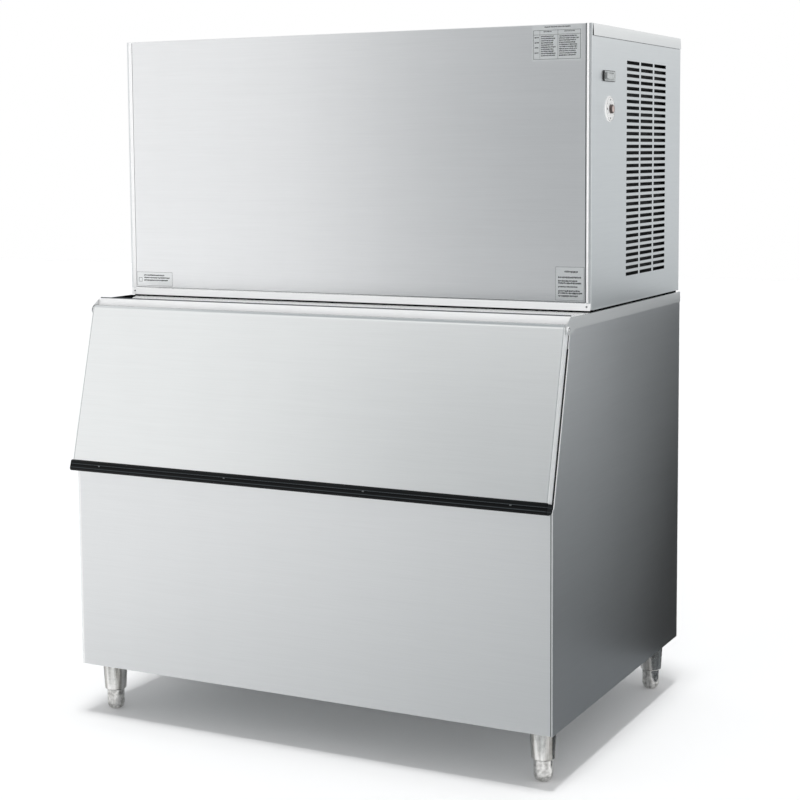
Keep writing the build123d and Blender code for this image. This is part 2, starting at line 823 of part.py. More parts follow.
# Head back: a flat sheet with the warm air vents and the holes of the rear fittings.
inlet_inset = 190.0
inlet_x = inlet_inset - head_half
inlet_height = 1500.0
inlet_radius = 13.2
outlet_x = -200.0
outlet_height = 1060.0
outlet_radius = 11.0
gland_x = 120.0
gland_height = 1560.0
gland_radius = 10.0
gland_inside = 20.0
outlet_inside = 40.0
fitting_nut = 4.0
with BuildPart() as head_back:
    with BuildSketch(Plane.XZ.offset(-back_y)):
        with Locations((0, head_bottom)):
            Rectangle(2 * head_inner, head_top - sheet - head_bottom, align=(Align.CENTER, Align.MIN))
        with Locations((head_half - vent_inset, vent_centre_height)):
            with GridLocations(vent_column_pitch, vent_pitch, vent_columns, vent_rows):
                Rectangle(vent_length, vent_height, mode=Mode.SUBTRACT)
        with Locations((inlet_x, inlet_height)):
            Circle(inlet_radius, mode=Mode.SUBTRACT)
        with Locations((outlet_x, outlet_height)):
            Circle(outlet_radius, mode=Mode.SUBTRACT)
        with Locations((gland_x, gland_height)):
            Circle(gland_radius, mode=Mode.SUBTRACT)
    extrude(amount=sheet)
save(head_back, "head_back_panel")


def rear_spigot(place_x, height, radius, bore, inside):
    """A tube through the back panel, clamped by a hexagon nut on each side of it."""
    with BuildPart() as spigot:
        with BuildSketch(Plane.XZ.offset(-back_y - fitting_reach)):
            with Locations((place_x, height)):
                Circle(radius)
        extrude(amount=fitting_reach + inside)
        for face_y in (back_y + fitting_nut, back_y - sheet):
            with BuildSketch(Plane.XZ.offset(-face_y)):
                with Locations((place_x, height)):
                    RegularPolygon(radius + fitting_nut, 6)
            extrude(amount=fitting_nut)
        with BuildSketch(Plane.XZ.offset(-back_y - fitting_reach)):
            with Locations((place_x, height)):
                Circle(bore)
        extrude(amount=fitting_reach + inside, mode=Mode.SUBTRACT)
    return spigot


# Rear fittings: the meltwater outlet of the trough and the gland for the supply lead.
outlet_bore = 8.5
gland_bore = 5.0
fittings = {
    "head_drain": (outlet_x, outlet_height, outlet_radius, outlet_bore, outlet_inside),
    "power_gland": (gland_x, gland_height, gland_radius, gland_bore, gland_inside),
}
for label, (place_x, height, radius, bore, inside) in fittings.items():
    save(rear_spigot(place_x, height, radius, bore, inside), label)

# Inlet valve: a solenoid valve whose threaded inlet passes out through the back.
inlet_bore = 8.0
inlet_inside = 30.0
valve_body = 34.0
solenoid_height = 32.0
inlet_spigot = rear_spigot(inlet_x, inlet_height, inlet_radius, inlet_bore, inlet_inside)
with BuildPart() as inlet_valve:
    add(inlet_spigot.part)
    with BuildSketch(Plane.XZ.offset(-back_y + inlet_inside)):
        with Locations((inlet_x, inlet_height)):
            Rectangle(valve_body, valve_body)
    extrude(amount=valve_body)
    with BuildSketch(Plane.XY.offset(inlet_height + valve_body / 2)):
        with Locations((inlet_x, back_y - inlet_inside - valve_body / 2)):
            Circle(valve_body / 3)
    extrude(amount=solenoid_height)
save(inlet_valve, "inlet_valve")

# Partition: the upright sheet between the wet side and the machine side.
partition_foot = 20.0
with BuildPart() as partition:
    with BuildSketch(Plane.XZ.offset(-back_y + 2 * sheet + seam)):
        with Locations((partition_x, head_floor)):
            Rectangle(sheet, flange_low - head_floor, align=(Align.MIN, Align.MIN))
            Rectangle(partition_foot, sheet, align=(Align.MIN, Align.MIN))
    extrude(amount=head_depth - 2 * panel_return - 2 * sheet)
save(partition, "partition")

# Evaporator: a copper plate with the grid of cells in which the cubes freeze.
evaporator_height = cell_rows * cell_pitch + cell_web
evaporator_x = (evaporator_left + evaporator_right) / 2
evaporator_z = evaporator_bottom + evaporator_height / 2
cell_draft = 6.0
plate_thickness = cell_depth + evaporator_back
with BuildPart() as evaporator:
    with BuildSketch(Plane.XZ.offset(-from_back(evaporator_depth - plate_thickness))):
        with Locations((evaporator_x, evaporator_z)):
            Rectangle(evaporator_width, evaporator_height)
    extrude(amount=plate_thickness)
    with BuildSketch(Plane.XZ.offset(-from_back(evaporator_depth))):
        with Locations((evaporator_x, evaporator_z)):
            with GridLocations(cell_pitch, cell_pitch, cell_columns, cell_rows):
                Rectangle(cell, cell)
    extrude(amount=-cell_depth, taper=cell_draft, mode=Mode.SUBTRACT)
save(evaporator, "evaporator")

# Evaporator coil: one copper tube that runs to and fro across the back of the plate, with
# mitred elbows at the ends of its passes.
coil_margin = 24.0
elbow_cut = 25.0
coil_y = from_back(evaporator_depth - plate_thickness) + coil_radius
coil_pitch = (evaporator_height - 2 * coil_margin) / (coil_passes - 1)
coil_end = evaporator_width / 2 - coil_margin
coil_points = []
for index in range(coil_passes):
    pass_z = evaporator_bottom + coil_margin + index * coil_pitch
    heading = 1 if index % 2 == 0 else -1
    start_x = evaporator_x - heading * coil_end
    end_x = evaporator_x + heading * coil_end
    if index > 0:
        coil_points.append((start_x, coil_y, pass_z - elbow_cut))
        start_x += heading * elbow_cut
    coil_points.append((start_x, coil_y, pass_z))
    if index < coil_passes - 1:
        coil_points.append((end_x - heading * elbow_cut, coil_y, pass_z))
        coil_points.append((end_x, coil_y, pass_z + elbow_cut))
    else:
        coil_points.append((end_x, coil_y, pass_z))
with BuildPart() as coil:
    with BuildLine() as coil_path:
        Polyline(*coil_points)
    with BuildSketch(Plane(coil_points[0], z_dir=(1, 0, 0))):
        Circle(coil_radius)
    sweep(path=coil_path.wires()[0], transition=Transition.RIGHT)
save(coil, "evaporator_coil")

# End brackets: two uprights on the base that carry the plate, the sprinkler tube and the
# curtain between them.
bracket_foot = 18.0
tube_z = evaporator_bottom + evaporator_height + distributor_lift
tube_y = from_back(evaporator_depth - plate_thickness / 2)
curtain_y = from_back(curtain_depth)
bracket_faces = {-1: evaporator_left, 1: evaporator_right}
with BuildPart() as brackets:
    for sign, face_x in bracket_faces.items():
        with BuildSketch(Plane.YZ.offset(face_x)):
            with Locations((from_back(bracket_rear), head_floor)):
                Rectangle(
                    bracket_front - bracket_rear, bracket_top - head_floor, align=(Align.MAX, Align.MIN)
                )
            with Locations((from_back(trough_back - seam), head_floor)):
                Rectangle(
                    bracket_front - trough_back + seam,
                    trough_height + 2 * trough_wall,
                    align=(Align.MAX, Align.MIN),
                    mode=Mode.SUBTRACT,
                )
            with Locations((tube_y, tube_z)):
                Circle(distributor_radius, mode=Mode.SUBTRACT)
            with Locations((curtain_y, curtain_hinge)):
                Circle(curtain_pin + control_play, mode=Mode.SUBTRACT)
        extrude(amount=sign * bracket_thickness)
save(brackets, "evaporator_brackets")

# Sprinkler tube: feeds water over the plate through a row of small slots.
spray_slots = 9
spray_length = 8.0
spray_width = 2.5
distributor_wall = 3.0
with BuildPart() as distributor:
    with BuildSketch(Plane.YZ.offset(evaporator_left - 2 * bracket_thickness)):
        with Locations((tube_y, tube_z)):
            Circle(distributor_radius)
    extrude(amount=evaporator_width + 4 * bracket_thickness)
    with BuildSketch(Plane.YZ.offset(evaporator_left)):
        with Locations((tube_y, tube_z)):
            Circle(distributor_radius - distributor_wall)
    extrude(amount=evaporator_width + 2 * bracket_thickness, mode=Mode.SUBTRACT)
    with BuildSketch(Plane.XY.offset(tube_z)):
        with Locations((evaporator_x, tube_y)):
            with GridLocations(evaporator_width / spray_slots, 1, spray_slots, 1):
                Rectangle(spray_length, spray_width)
    extrude(amount=-distributor_radius, mode=Mode.SUBTRACT)
save(distributor, "water_distributor")

# Splash curtain: a clear sheet that hangs from two pins in front of the plate and is pushed
# aside by the falling ice.
curtain_half = evaporator_width / 2 - curtain_side_gap
curtain_rim = 10.0
with BuildPart() as curtain:
    with BuildSketch(Plane.XZ.offset(-curtain_y - curtain_thickness / 2)):
        with Locations((evaporator_x, curtain_bottom)):
            Rectangle(2 * curtain_half, curtain_hinge - curtain_bottom, align=(Align.CENTER, Align.MIN))
    extrude(amount=curtain_thickness)
    with BuildSketch(Plane.XZ.offset(-curtain_y + curtain_thickness / 2)):
        with Locations((evaporator_x, curtain_bottom)):
            Rectangle(2 * curtain_half, curtain_thickness, align=(Align.CENTER, Align.MIN))
    extrude(amount=curtain_rim)
    with BuildSketch(Plane.YZ.offset(evaporator_x)):
        with Locations((curtain_y, curtain_hinge)):
            Circle(curtain_pin)
    extrude(amount=evaporator_width / 2 + bracket_thickness, both=True)
save(curtain, "splash_curtain")

# Water trough: the tank on the base under the plate.
trough_left = evaporator_left - 30.0
trough_right = partition_x - trough_gap
trough_x = (trough_left + trough_right) / 2
trough_y = from_back((trough_back + trough_front) / 2)
trough_length = trough_right - trough_left
trough_width = trough_front - trough_back
with BuildPart() as trough:
    with BuildSketch(Plane.XY.offset(head_floor)):
        with Locations((trough_x, trough_y)):
            Rectangle(trough_length, trough_width)
    extrude(amount=trough_height)
    offset(amount=-trough_wall, openings=trough.faces().sort_by(Axis.Z)[-1])
save(trough, "water_trough")

# Water pump: stands in the right end of the trough, with its motor above the water and a
# spout for the tube that rises to the sprinkler.
pump_inset = 50.0
pump_x = trough_right - pump_inset
pump_y = tube_y
pump_foot = head_floor + trough_wall
volute_radius = 28.0
volute_height = 24.0
column_radius = 9.0
column_height = 70.0
pump_motor_radius = 32.0
pump_motor_height = 58.0
pump_motor_edge = 6.0
spout_length = 30.0
spout_height = 12.0
riser_radius = 8.0
riser_bend = 20.0
motor_foot = pump_foot + volute_height + column_height
with BuildPart() as pump:
    with BuildSketch(Plane.XY.offset(pump_foot)):
        with Locations((pump_x, pump_y)):
            Circle(volute_radius)
    extrude(amount=volute_height)
    with BuildSketch(Plane.XY.offset(pump_foot + volute_height)):
        with Locations((pump_x, pump_y)):
            Circle(column_radius)
    extrude(amount=column_height)
    with BuildSketch(Plane.XY.offset(motor_foot)):
        with Locations((pump_x, pump_y)):
            Circle(pump_motor_radius)
    extrude(amount=pump_motor_height)
    chamfer(pump.faces().sort_by(Axis.Z)[-1].edges(), pump_motor_edge)
    with BuildSketch(Plane.YZ.offset(pump_x)):
        with Locations((pump_y, pump_foot + spout_height)):
            Circle(riser_radius)
    extrude(amount=-spout_length)
save(pump, "water_pump")

# Supply tube: rises from the pump and plugs onto the end of the sprinkler tube, with a
# mitred elbow at each end.
tube_end_x = evaporator_right + 2 * bracket_thickness
riser_x = tube_end_x + riser_bend
riser_foot = pump_foot + spout_height
spout_x = pump_x - spout_length
with BuildPart() as supply_tube:
    with BuildLine() as riser_path:
        Polyline(
            (tube_end_x, pump_y, tube_z),
            (riser_x - riser_bend / 2, pump_y, tube_z),
            (riser_x, pump_y, tube_z - riser_bend / 2),
            (riser_x, pump_y, riser_foot + riser_bend / 2),
            (riser_x + riser_bend / 2, pump_y, riser_foot),
            (spout_x, pump_y, riser_foot),
        )
    with BuildSketch(Plane((tube_end_x, pump_y, tube_z), z_dir=(1, 0, 0))):
        Circle(riser_radius)
    sweep(path=riser_path.wires()[0], transition=Transition.RIGHT)
save(supply_tube, "supply_tube")

# Float valve: a body on the left end of the trough, with two cheeks for the pin of the arm,
# and an arm with a hollow float that rides on the water.
valve_x = trough_left + trough_wall
valve_drop = 18.0
valve_z = head_floor + trough_height - valve_drop
valve_block = 26.0
valve_depth = 12.0
cheek_length = 16.0
cheek_thickness = 4.0
cheek_offset = 7.0
arm_pin_x = valve_x + valve_depth + 10.0
arm_pin_radius = 2.0
arm_boss_radius = 5.0
arm_length = 85.0
arm_thickness = 4.0
float_radius = 20.0
float_edge = 8.0
with BuildPart() as float_valve:
    with BuildSketch(Plane.YZ.offset(valve_x)):
        with Locations((trough_y, valve_z)):
            Rectangle(valve_block, valve_block)
    extrude(amount=valve_depth)
    with BuildSketch(Plane.XY.offset(valve_z)):
        with Locations((valve_x + valve_depth, trough_y)):
            with GridLocations(0, 2 * cheek_offset, 1, 2):
                Rectangle(cheek_length, cheek_thickness, align=(Align.MIN, Align.CENTER))
    extrude(amount=cheek_length / 2, both=True)
    with BuildSketch(Plane.XZ.offset(-trough_y)):
        with Locations((arm_pin_x, valve_z)):
            Circle(arm_pin_radius + control_play)
    extrude(amount=valve_block, both=True, mode=Mode.SUBTRACT)
save(float_valve, "float_valve")

float_x = arm_pin_x + arm_length
with BuildPart() as float_arm:
    with BuildSketch(Plane.XZ.offset(-trough_y)):
        with Locations((arm_pin_x, valve_z)):
            Circle(arm_pin_radius)
    extrude(amount=cheek_offset + cheek_thickness / 2, both=True)
    with BuildSketch(Plane.XZ.offset(-trough_y)):
        with Locations((arm_pin_x, valve_z)):
            Circle(arm_boss_radius)
            Rectangle(arm_length, arm_thickness, align=(Align.MIN, Align.CENTER))
    extrude(amount=arm_thickness, both=True)
    with BuildSketch(Plane.XZ.offset(-trough_y)):
        with Locations((float_x, valve_z)):
            Polygon(
                (0, -float_radius),
                (float_radius - float_edge, -float_radius),
                (float_radius, float_edge - float_radius),
                (float_radius, float_radius - float_edge),
                (float_radius - float_edge, float_radius),
                (0, float_radius),
                align=None,
            )
    revolve(axis=Axis((float_x, trough_y, 0), (0, 0, 1)))
save(float_arm, "float_arm")

# Compressor: a welded can with a domed top and bottom, on three rubber feet on the base.
compressor_x = partition_x + compressor_gap
compressor_y = from_back(compressor_depth)
foot_pad = 14.0
dome_height = 30.0
dome_flat = 40.0
dome_shoulder_radius = 66.0
dome_shoulder = 12.0
can_foot = head_floor + foot_pad
can_top = can_foot + compressor_height
with BuildPart() as compressor:
    with BuildSketch(Plane.XZ.offset(-compressor_y)):
        with Locations((compressor_x, 0)):
            Polygon(
                (0, can_foot),
                (dome_flat, can_foot),
                (dome_shoulder_radius, can_foot + dome_shoulder),
                (compressor_radius, can_foot + dome_height),
                (compressor_radius, can_top - dome_height),
                (dome_shoulder_radius, can_top - dome_shoulder),
                (dome_flat, can_top),
                (0, can_top),
                align=None,
            )
    revolve(axis=Axis((compressor_x, compressor_y, 0), (0, 0, 1)))
    with BuildSketch(Plane.XY.offset(head_floor)):
        with Locations((compressor_x, compressor_y)):
            with PolarLocations(dome_shoulder_radius, 3):
                RegularPolygon(foot_pad, 6)
    extrude(amount=dome_height)
save(compressor, "compressor")

# Condenser: a finned block right behind the louvres.
condenser_gap = 6.0
condenser_x = head_inner - condenser_thickness / 2 - condenser_gap
condenser_wide = louvre_columns * louvre_column_pitch + 2 * condenser_margin
condenser_tall = louvre_rows * louvre_pitch + 2 * condenser_margin
condenser_y = from_back(head_depth - louvre_set_back)
fin_pitch = condenser_tall / condenser_fins
with BuildPart() as condenser:
    with BuildSketch(Plane.YZ.offset(condenser_x - condenser_thickness / 2)):
        with Locations((condenser_y, louvre_centre_height)):
            Rectangle(condenser_wide, condenser_tall)
    extrude(amount=condenser_thickness)
    with BuildSketch(Plane.YZ.offset(condenser_x + condenser_thickness / 2)):
        with Locations((condenser_y, louvre_centre_height)):
            with GridLocations(1, fin_pitch, 1, condenser_fins):
                Rectangle(condenser_wide - 2 * condenser_margin, fin_pitch / 2)
    extrude(amount=-condenser_thickness / 3, mode=Mode.SUBTRACT)
    with BuildSketch(Plane.XY.offset(head_floor)):
        with Locations((condenser_x, condenser_y)):
            Rectangle(condenser_thickness, condenser_wide)
    extrude(amount=louvre_centre_height - condenser_tall / 2 - head_floor)
save(condenser, "condenser")

# Fan shroud: the plate with the round air opening on the inner face of the condenser, and
# the bridge in front of the opening that carries the motor.
shroud_x = condenser_x - condenser_thickness / 2
collar = 22.0
opening_radius = fan_radius + fan_clearance
bridge_reach = 96.0
bridge_width = 12.0
bridge_thickness = 4.0
bridge_span = opening_radius + collar
with BuildPart() as shroud:
    with BuildSketch(Plane.YZ.offset(shroud_x)):
        with Locations((condenser_y, louvre_centre_height)):
            Rectangle(condenser_wide, condenser_tall)
        with Locations((condenser_y, fan_height)):
            Circle(opening_radius, mode=Mode.SUBTRACT)
    extrude(amount=-shroud_plate)
    with BuildSketch(Plane.YZ.offset(shroud_x)):
        with Locations((condenser_y, fan_height)):
            Circle(opening_radius + shroud_plate)
            Circle(opening_radius, mode=Mode.SUBTRACT)
    extrude(amount=-collar)
    with BuildSketch(Plane.YZ.offset(shroud_x - shroud_plate)):
        with Locations((condenser_y, fan_height)):
            with GridLocations(0, 2 * bridge_span, 1, 2):
                Rectangle(bridge_width, bridge_width)
    extrude(amount=shroud_plate - bridge_reach)
    with BuildSketch(Plane.YZ.offset(shroud_x - bridge_reach)):
        with Locations((condenser_y, fan_height)):
            Rectangle(bridge_width, 2 * bridge_span + bridge_width)
            Circle(motor_shaft + bridge_gap, mode=Mode.SUBTRACT)
    extrude(amount=-bridge_thickness)
save(shroud, "fan_shroud")

# Fan motor: a small motor on the bridge, with its shaft towards the condenser.
motor_front = shroud_x - bridge_reach - bridge_thickness
motor_length = 58.0
motor_edge = 8.0
motor_shaft_reach = 76.0
with BuildPart() as motor:
    with BuildSketch(Plane.YZ.offset(motor_front)):
        with Locations((condenser_y, fan_height)):
            Circle(motor_radius)
    extrude(amount=-motor_length)
    chamfer(motor.faces().sort_by(Axis.X)[0].edges(), motor_edge)
    with BuildSketch(Plane.YZ.offset(motor_front)):
        with Locations((condenser_y, fan_height)):
            Circle(motor_shaft)
    extrude(amount=motor_shaft_reach)
save(motor, "fan_motor")

# Fan rotor: five pitched blades on a hub that turns on the motor shaft.
rotor_gap = 40.0
rotor_x = shroud_x - rotor_gap
hub_half = 14.0
blade_thickness = 3.0
blade_pitch = radians(32)
blade_chord = 62.0
blade_root = 37.0
with BuildPart() as rotor:
    with BuildSketch(Plane.YZ.offset(rotor_x)):
        with Locations((condenser_y, fan_height)):
            Circle(fan_hub_radius)
    extrude(amount=hub_half, both=True)
    for index in range(fan_blades):
        turn = 2 * pi * index / fan_blades
        outward = Vector(0, cos(turn), sin(turn))
        along = Vector(0, -sin(turn), cos(turn)) * cos(blade_pitch) + Vector(sin(blade_pitch), 0, 0)
        hub_centre = Vector(rotor_x, condenser_y, fan_height)
        root = Plane(origin=hub_centre + outward * (fan_hub_radius - blade_thickness), x_dir=along, z_dir=outward)
        with BuildSketch(root):
            Rectangle(blade_root, blade_thickness)
        with BuildSketch(root.offset(fan_radius - fan_hub_radius)):
            Rectangle(blade_chord, blade_thickness)
        loft()
    with BuildSketch(Plane.YZ.offset(rotor_x)):
        with Locations((condenser_y, fan_height)):
            Circle(motor_shaft + control_play)
    extrude(amount=2 * hub_half, both=True, mode=Mode.SUBTRACT)
save(rotor, "fan_rotor")

# Filter drier: a spun copper can with a tube stub at each end, clipped to the partition.
drier_gap = 24.0
drier_x = partition_x + sheet + drier_gap
drier_depth = 120.0
drier_y = from_back(drier_depth)
drier_foot = 1200.0
drier_stub = 22.0
drier_cone = 18.0
drier_body = 90.0
drier_radius = 18.0
drier_tube_radius = 5.0
clip_foot = drier_foot + 75.0
clip_height = 20.0
clip_width = 16.0
body_foot = drier_foot + drier_stub + drier_cone
body_top = body_foot + drier_body
with BuildPart() as drier:
    with BuildSketch(Plane.XZ.offset(-drier_y)):
        with Locations((drier_x, 0)):
            Polygon(
                (0, drier_foot),
                (drier_tube_radius, drier_foot),
                (drier_tube_radius, drier_foot + drier_stub),
                (drier_radius, body_foot),
                (drier_radius, body_top),
                (drier_tube_radius, body_top + drier_cone),
                (drier_tube_radius, body_top + drier_cone + drier_stub),
                (0, body_top + drier_cone + drier_stub),
                align=None,
            )
    revolve(axis=Axis((drier_x, drier_y, 0), (0, 0, 1)))
    with BuildSketch(Plane.XY.offset(clip_foot)):
        with Locations((partition_x + sheet, drier_y)):
            Rectangle(drier_gap, clip_width, align=(Align.MIN, Align.CENTER))
    extrude(amount=clip_height)
save(drier, "filter_drier")

# Control box: a steel case on the partition for the relays and the timer.
box_width = 150.0
box_depth = 60.0
box_tall = 190.0
box_foot = 1380.0
box_edge = 3.0
box_set_back = 137.0
with BuildPart() as control_box:
    with BuildSketch(Plane.XY.offset(box_foot)):
        with Locations((partition_x + sheet, from_back(head_depth - box_set_back))):
            Rectangle(box_width, box_depth, align=(Align.MIN, Align.CENTER))
    extrude(amount=box_tall)
    chamfer(control_box.edges().filter_by(Axis.Z), box_edge)
save(control_box, "control_box")

# Switch: a bezel with its housing through the side panel, and the rocker in it.
bezel_face = head_half + bezel_proud
rocker_x = head_half + bezel_proud - rocker_pivot_inset - rocker_dip
with BuildPart() as bezel:
    with BuildSketch(Plane.YZ.offset(head_half)):
        with Locations((switch_y, switch_height)):
            RectangleRounded(switch_length, switch_tall, bezel_round)
    extrude(amount=bezel_proud)
    with BuildSketch(Plane.YZ.offset(head_half)):
        with Locations((switch_y, switch_height)):
            Rectangle(switch_length - 4 * sheet, switch_tall - 4 * sheet)
    extrude(amount=-switch_body_depth)
    with BuildSketch(Plane.YZ.offset(bezel_face)):
        with Locations((switch_y, switch_height)):
            Rectangle(rocker_length + 2 * rocker_gap, rocker_tall + 2 * rocker_gap)
    extrude(amount=-bezel_proud - rocker_well, mode=Mode.SUBTRACT)
    with BuildSketch(Plane.XY.offset(switch_height - switch_tall / 2 + 1.5 * sheet)):
        with Locations((rocker_x, switch_y)):
            Circle(rocker_pin_radius + control_play)
    extrude(amount=switch_tall - 3 * sheet, mode=Mode.SUBTRACT)
save(bezel, "switch_housing")

with BuildPart() as rocker:
    with BuildSketch(Plane((rocker_x, switch_y, switch_height), x_dir=(0, 1, 0), z_dir=(0, 0, -1))):
        with Locations(Location((0, 0, 0), (0, 0, -rocker_tilt))):
            Polygon(
                (-rocker_length / 2, rocker_rise),
                (0, rocker_dip),
                (rocker_length / 2, rocker_rise),
                (rocker_length / 2, -sheet),
                (rocker_length / 6, -2 * rocker_dip),
                (-rocker_length / 6, -2 * rocker_dip),
                (-rocker_length / 2, -sheet),
                align=None,
            )
    extrude(amount=rocker_tall / 2, both=True)
    with BuildSketch(Plane.XY.offset(switch_height)):
        with Locations((rocker_x, switch_y)):
            Circle(rocker_pin_radius)
    extrude(amount=rocker_tall / 2 + rocker_gap + rocker_pin_hold, both=True)
save(rocker, "switch_rocker")

# Dial: a round scale plate on the panel, the thermostat behind it and the knob on its shaft.
with BuildPart() as dial_plate:
    with BuildSketch(Plane.YZ.offset(head_half)):
        with Locations((dial_y, dial_height)):
            Circle(dial_radius)
            Circle(shaft_radius + sheet, mode=Mode.SUBTRACT)
    extrude(amount=dial_thickness)
    outer_edge = dial_plate.faces().sort_by(Axis.X)[-1].outer_wire().edges()
    chamfer(outer_edge, dial_thickness / 3)
save(dial_plate, "dial_plate")

thermostat_depth = 34.0
thermostat_length = 44.0
thermostat_tall = 36.0
with BuildPart() as thermostat:
    with BuildSketch(Plane.YZ.offset(head_inner)):
        with Locations((dial_y, dial_height)):
            Rectangle(thermostat_length, thermostat_tall)
            Circle(shaft_radius + control_play, mode=Mode.SUBTRACT)
    extrude(amount=-thermostat_depth)
save(thermostat, "thermostat")

knob_foot = head_half + dial_thickness + knob_lift
with BuildPart() as knob:
    with BuildSketch(Plane.YZ.offset(knob_foot)):
        with Locations((dial_y, dial_height)):
            Circle(knob_radius)
    extrude(amount=knob_length)
    chamfer(knob.faces().sort_by(Axis.X)[-1].edges(), knob_edge)
    with BuildSketch(Plane.YZ.offset(knob_foot + knob_length)):
        with Locations((dial_y, dial_height)):
            Rectangle(knob_mark, knob_radius, align=(Align.CENTER, Align.MIN))
    extrude(amount=-knob_mark, mode=Mode.SUBTRACT)
    with BuildSketch(Plane.YZ.offset(knob_foot)):
        with Locations((dial_y, dial_height)):
            Circle(shaft_radius)
    extrude(amount=-shaft_length)
save(knob, "dial_knob")
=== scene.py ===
import math
import random

import bmesh
import bpy
from mathutils import Matrix, Vector


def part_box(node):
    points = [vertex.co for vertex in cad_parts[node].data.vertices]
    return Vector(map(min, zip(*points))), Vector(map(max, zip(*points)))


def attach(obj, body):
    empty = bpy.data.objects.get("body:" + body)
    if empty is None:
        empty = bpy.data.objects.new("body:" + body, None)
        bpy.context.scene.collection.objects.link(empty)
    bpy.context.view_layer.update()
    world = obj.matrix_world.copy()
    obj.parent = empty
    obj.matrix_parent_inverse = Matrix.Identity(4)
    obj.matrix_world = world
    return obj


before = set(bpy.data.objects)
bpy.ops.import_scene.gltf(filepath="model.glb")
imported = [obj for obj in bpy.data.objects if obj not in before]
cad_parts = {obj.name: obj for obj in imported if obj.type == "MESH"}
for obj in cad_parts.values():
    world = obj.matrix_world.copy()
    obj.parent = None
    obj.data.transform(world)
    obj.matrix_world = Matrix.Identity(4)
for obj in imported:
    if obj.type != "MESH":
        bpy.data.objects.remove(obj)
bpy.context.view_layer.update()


# Camera. A long lens from the right and in front, a little above the head's base. The
# photograph's verticals are upright, so the frame is shifted down and the camera barely tilts.
camera_place = (1.928, -3.696, 1.353)
heading = math.radians(26.98)
dip = math.radians(5.55)
roll = math.radians(-0.39)
camera_data = bpy.data.cameras.new("camera")
camera_data.sensor_width = 36
camera_data.lens = 77.1
camera_data.shift_y = -0.10
camera_data.clip_end = 60
camera = bpy.data.objects.new("camera", camera_data)
bpy.context.scene.collection.objects.link(camera)
bpy.context.scene.camera = camera
level_look = Vector((-math.sin(heading), math.cos(heading), 0))
look = math.cos(dip) * level_look - math.sin(dip) * Vector((0, 0, 1))
level_right = Vector((math.cos(heading), math.sin(heading), 0))
level_up = level_right.cross(look)
right = math.cos(roll) * level_right + math.sin(roll) * level_up
up = math.cos(roll) * level_up - math.sin(roll) * level_right
camera_turn = Matrix((right, up, -look)).transposed().to_4x4()
camera.matrix_world = Matrix.Translation(camera_place) @ camera_turn
bpy.context.scene.view_settings.view_transform = "Standard"


# Floor. Pale paper under the machine; to the camera it is a trace brighter, so that it runs into
# the white surround, and it keeps the machine's shadow.
class Wire:
    """One socket of a shader, with the arithmetic of a number."""

    def __init__(self, tree, socket):
        self.tree = tree
        self.socket = socket

    def node(self, kind, settings=None, inputs=None, output=0):
        made = self.tree.nodes.new(kind)
        for name, value in (settings or {}).items():
            setattr(made, name, value)
        for name, value in (inputs or {}).items():
            if isinstance(value, Wire):
                self.tree.links.new(value.socket, made.inputs[name])
            else:
                made.inputs[name].default_value = value
        return Wire(self.tree, made.outputs[output])

    def math(self, operation, *terms):
        return self.node("ShaderNodeMath", {"operation": operation}, dict(enumerate(terms)))

    def __add__(self, other):
        return self.math("ADD", self, other)

    def __sub__(self, other):
        return self.math("SUBTRACT", self, other)

    def __mul__(self, other):
        return self.math("MULTIPLY", self, other)

    def __radd__(self, other):
        return self.math("ADD", other, self)

    def __rsub__(self, other):
        return self.math("SUBTRACT", other, self)

    def __rmul__(self, other):
        return self.math("MULTIPLY", other, self)

    def __abs__(self):
        return self.math("ABSOLUTE", self)

    def axis(self, name):
        return self.node("ShaderNodeSeparateXYZ", None, {0: self}, name)

    def scaled(self, x, y, z):
        return self.node("ShaderNodeVectorMath", {"operation": "MULTIPLY"}, {0: self, 1: (x, y, z)})

    def noise(self, scale, detail=3.0):
        inputs = {"Vector": self, "Scale": scale, "Detail": detail}
        return self.node("ShaderNodeTexNoise", None, inputs, "Fac")

    def ramp(self, low, high, start=0.0, end=1.0):
        limits = {"Value": self, "From Min": low, "From Max": high, "To Min": start, "To Max": end}
        return self.node("ShaderNodeMapRange", {"clamp": True}, limits)

    def mix(self, first, second):
        return self.node("ShaderNodeMix", {"data_type": "RGBA"}, {0: self, 6: first, 7: second}, 2)

    def bump(self, distance):
        return self.node("ShaderNodeBump", None, {"Height": self, "Distance": distance, "Strength": 1.0})


def tone(code):
    """The linear colour of a six-figure screen colour."""
    parts = [int(code[i:i + 2], 16) / 255 for i in (0, 2, 4)]
    return (*[p / 12.92 if p <= 0.04045 else ((p + 0.055) / 1.055) ** 2.4 for p in parts], 1.0)


class Finish:
    """A material with one Principled shader and the place on the piece that its patterns follow."""

    def __init__(self, name, **constants):
        self.material = bpy.data.materials.new(name)
        self.material.use_nodes = True
        self.tree = self.material.node_tree
        self.shader = self.tree.nodes["Principled BSDF"]
        for socket, value in constants.items():
            self.shader.inputs[socket.replace("_", " ")].default_value = value
        self.start = Wire(self.tree, None)
        self.place = self.start.node("ShaderNodeTexCoord", None, None, "Object")

    def feed(self, **wires):
        for socket, wire in wires.items():
            self.tree.links.new(wire.socket, self.shader.inputs[socket.replace("_", " ")])
        return self


def piece_from(name, mesh, finish):
    """An object made of a finished bmesh, which is used up."""
    data = bpy.data.meshes.new(name)
    mesh.normal_update()
    mesh.to_mesh(data)
    mesh.free()
    data.materials.append(finish.material)
    made = bpy.data.objects.new(name, data)
    bpy.context.scene.collection.objects.link(made)
    return made


def flat_card(name, corners, finish):
    """A single face that stands in the studio and isn't part of the machine."""
    mesh = bmesh.new()
    mesh.faces.new([mesh.verts.new(corner) for corner in corners])
    card = piece_from(name, mesh, finish)
    return card


def lying(left, front, right, back, height):
    """The corners of a level rectangle."""
    return [(left, front, height), (right, front, height), (right, back, height), (left, back, height)]


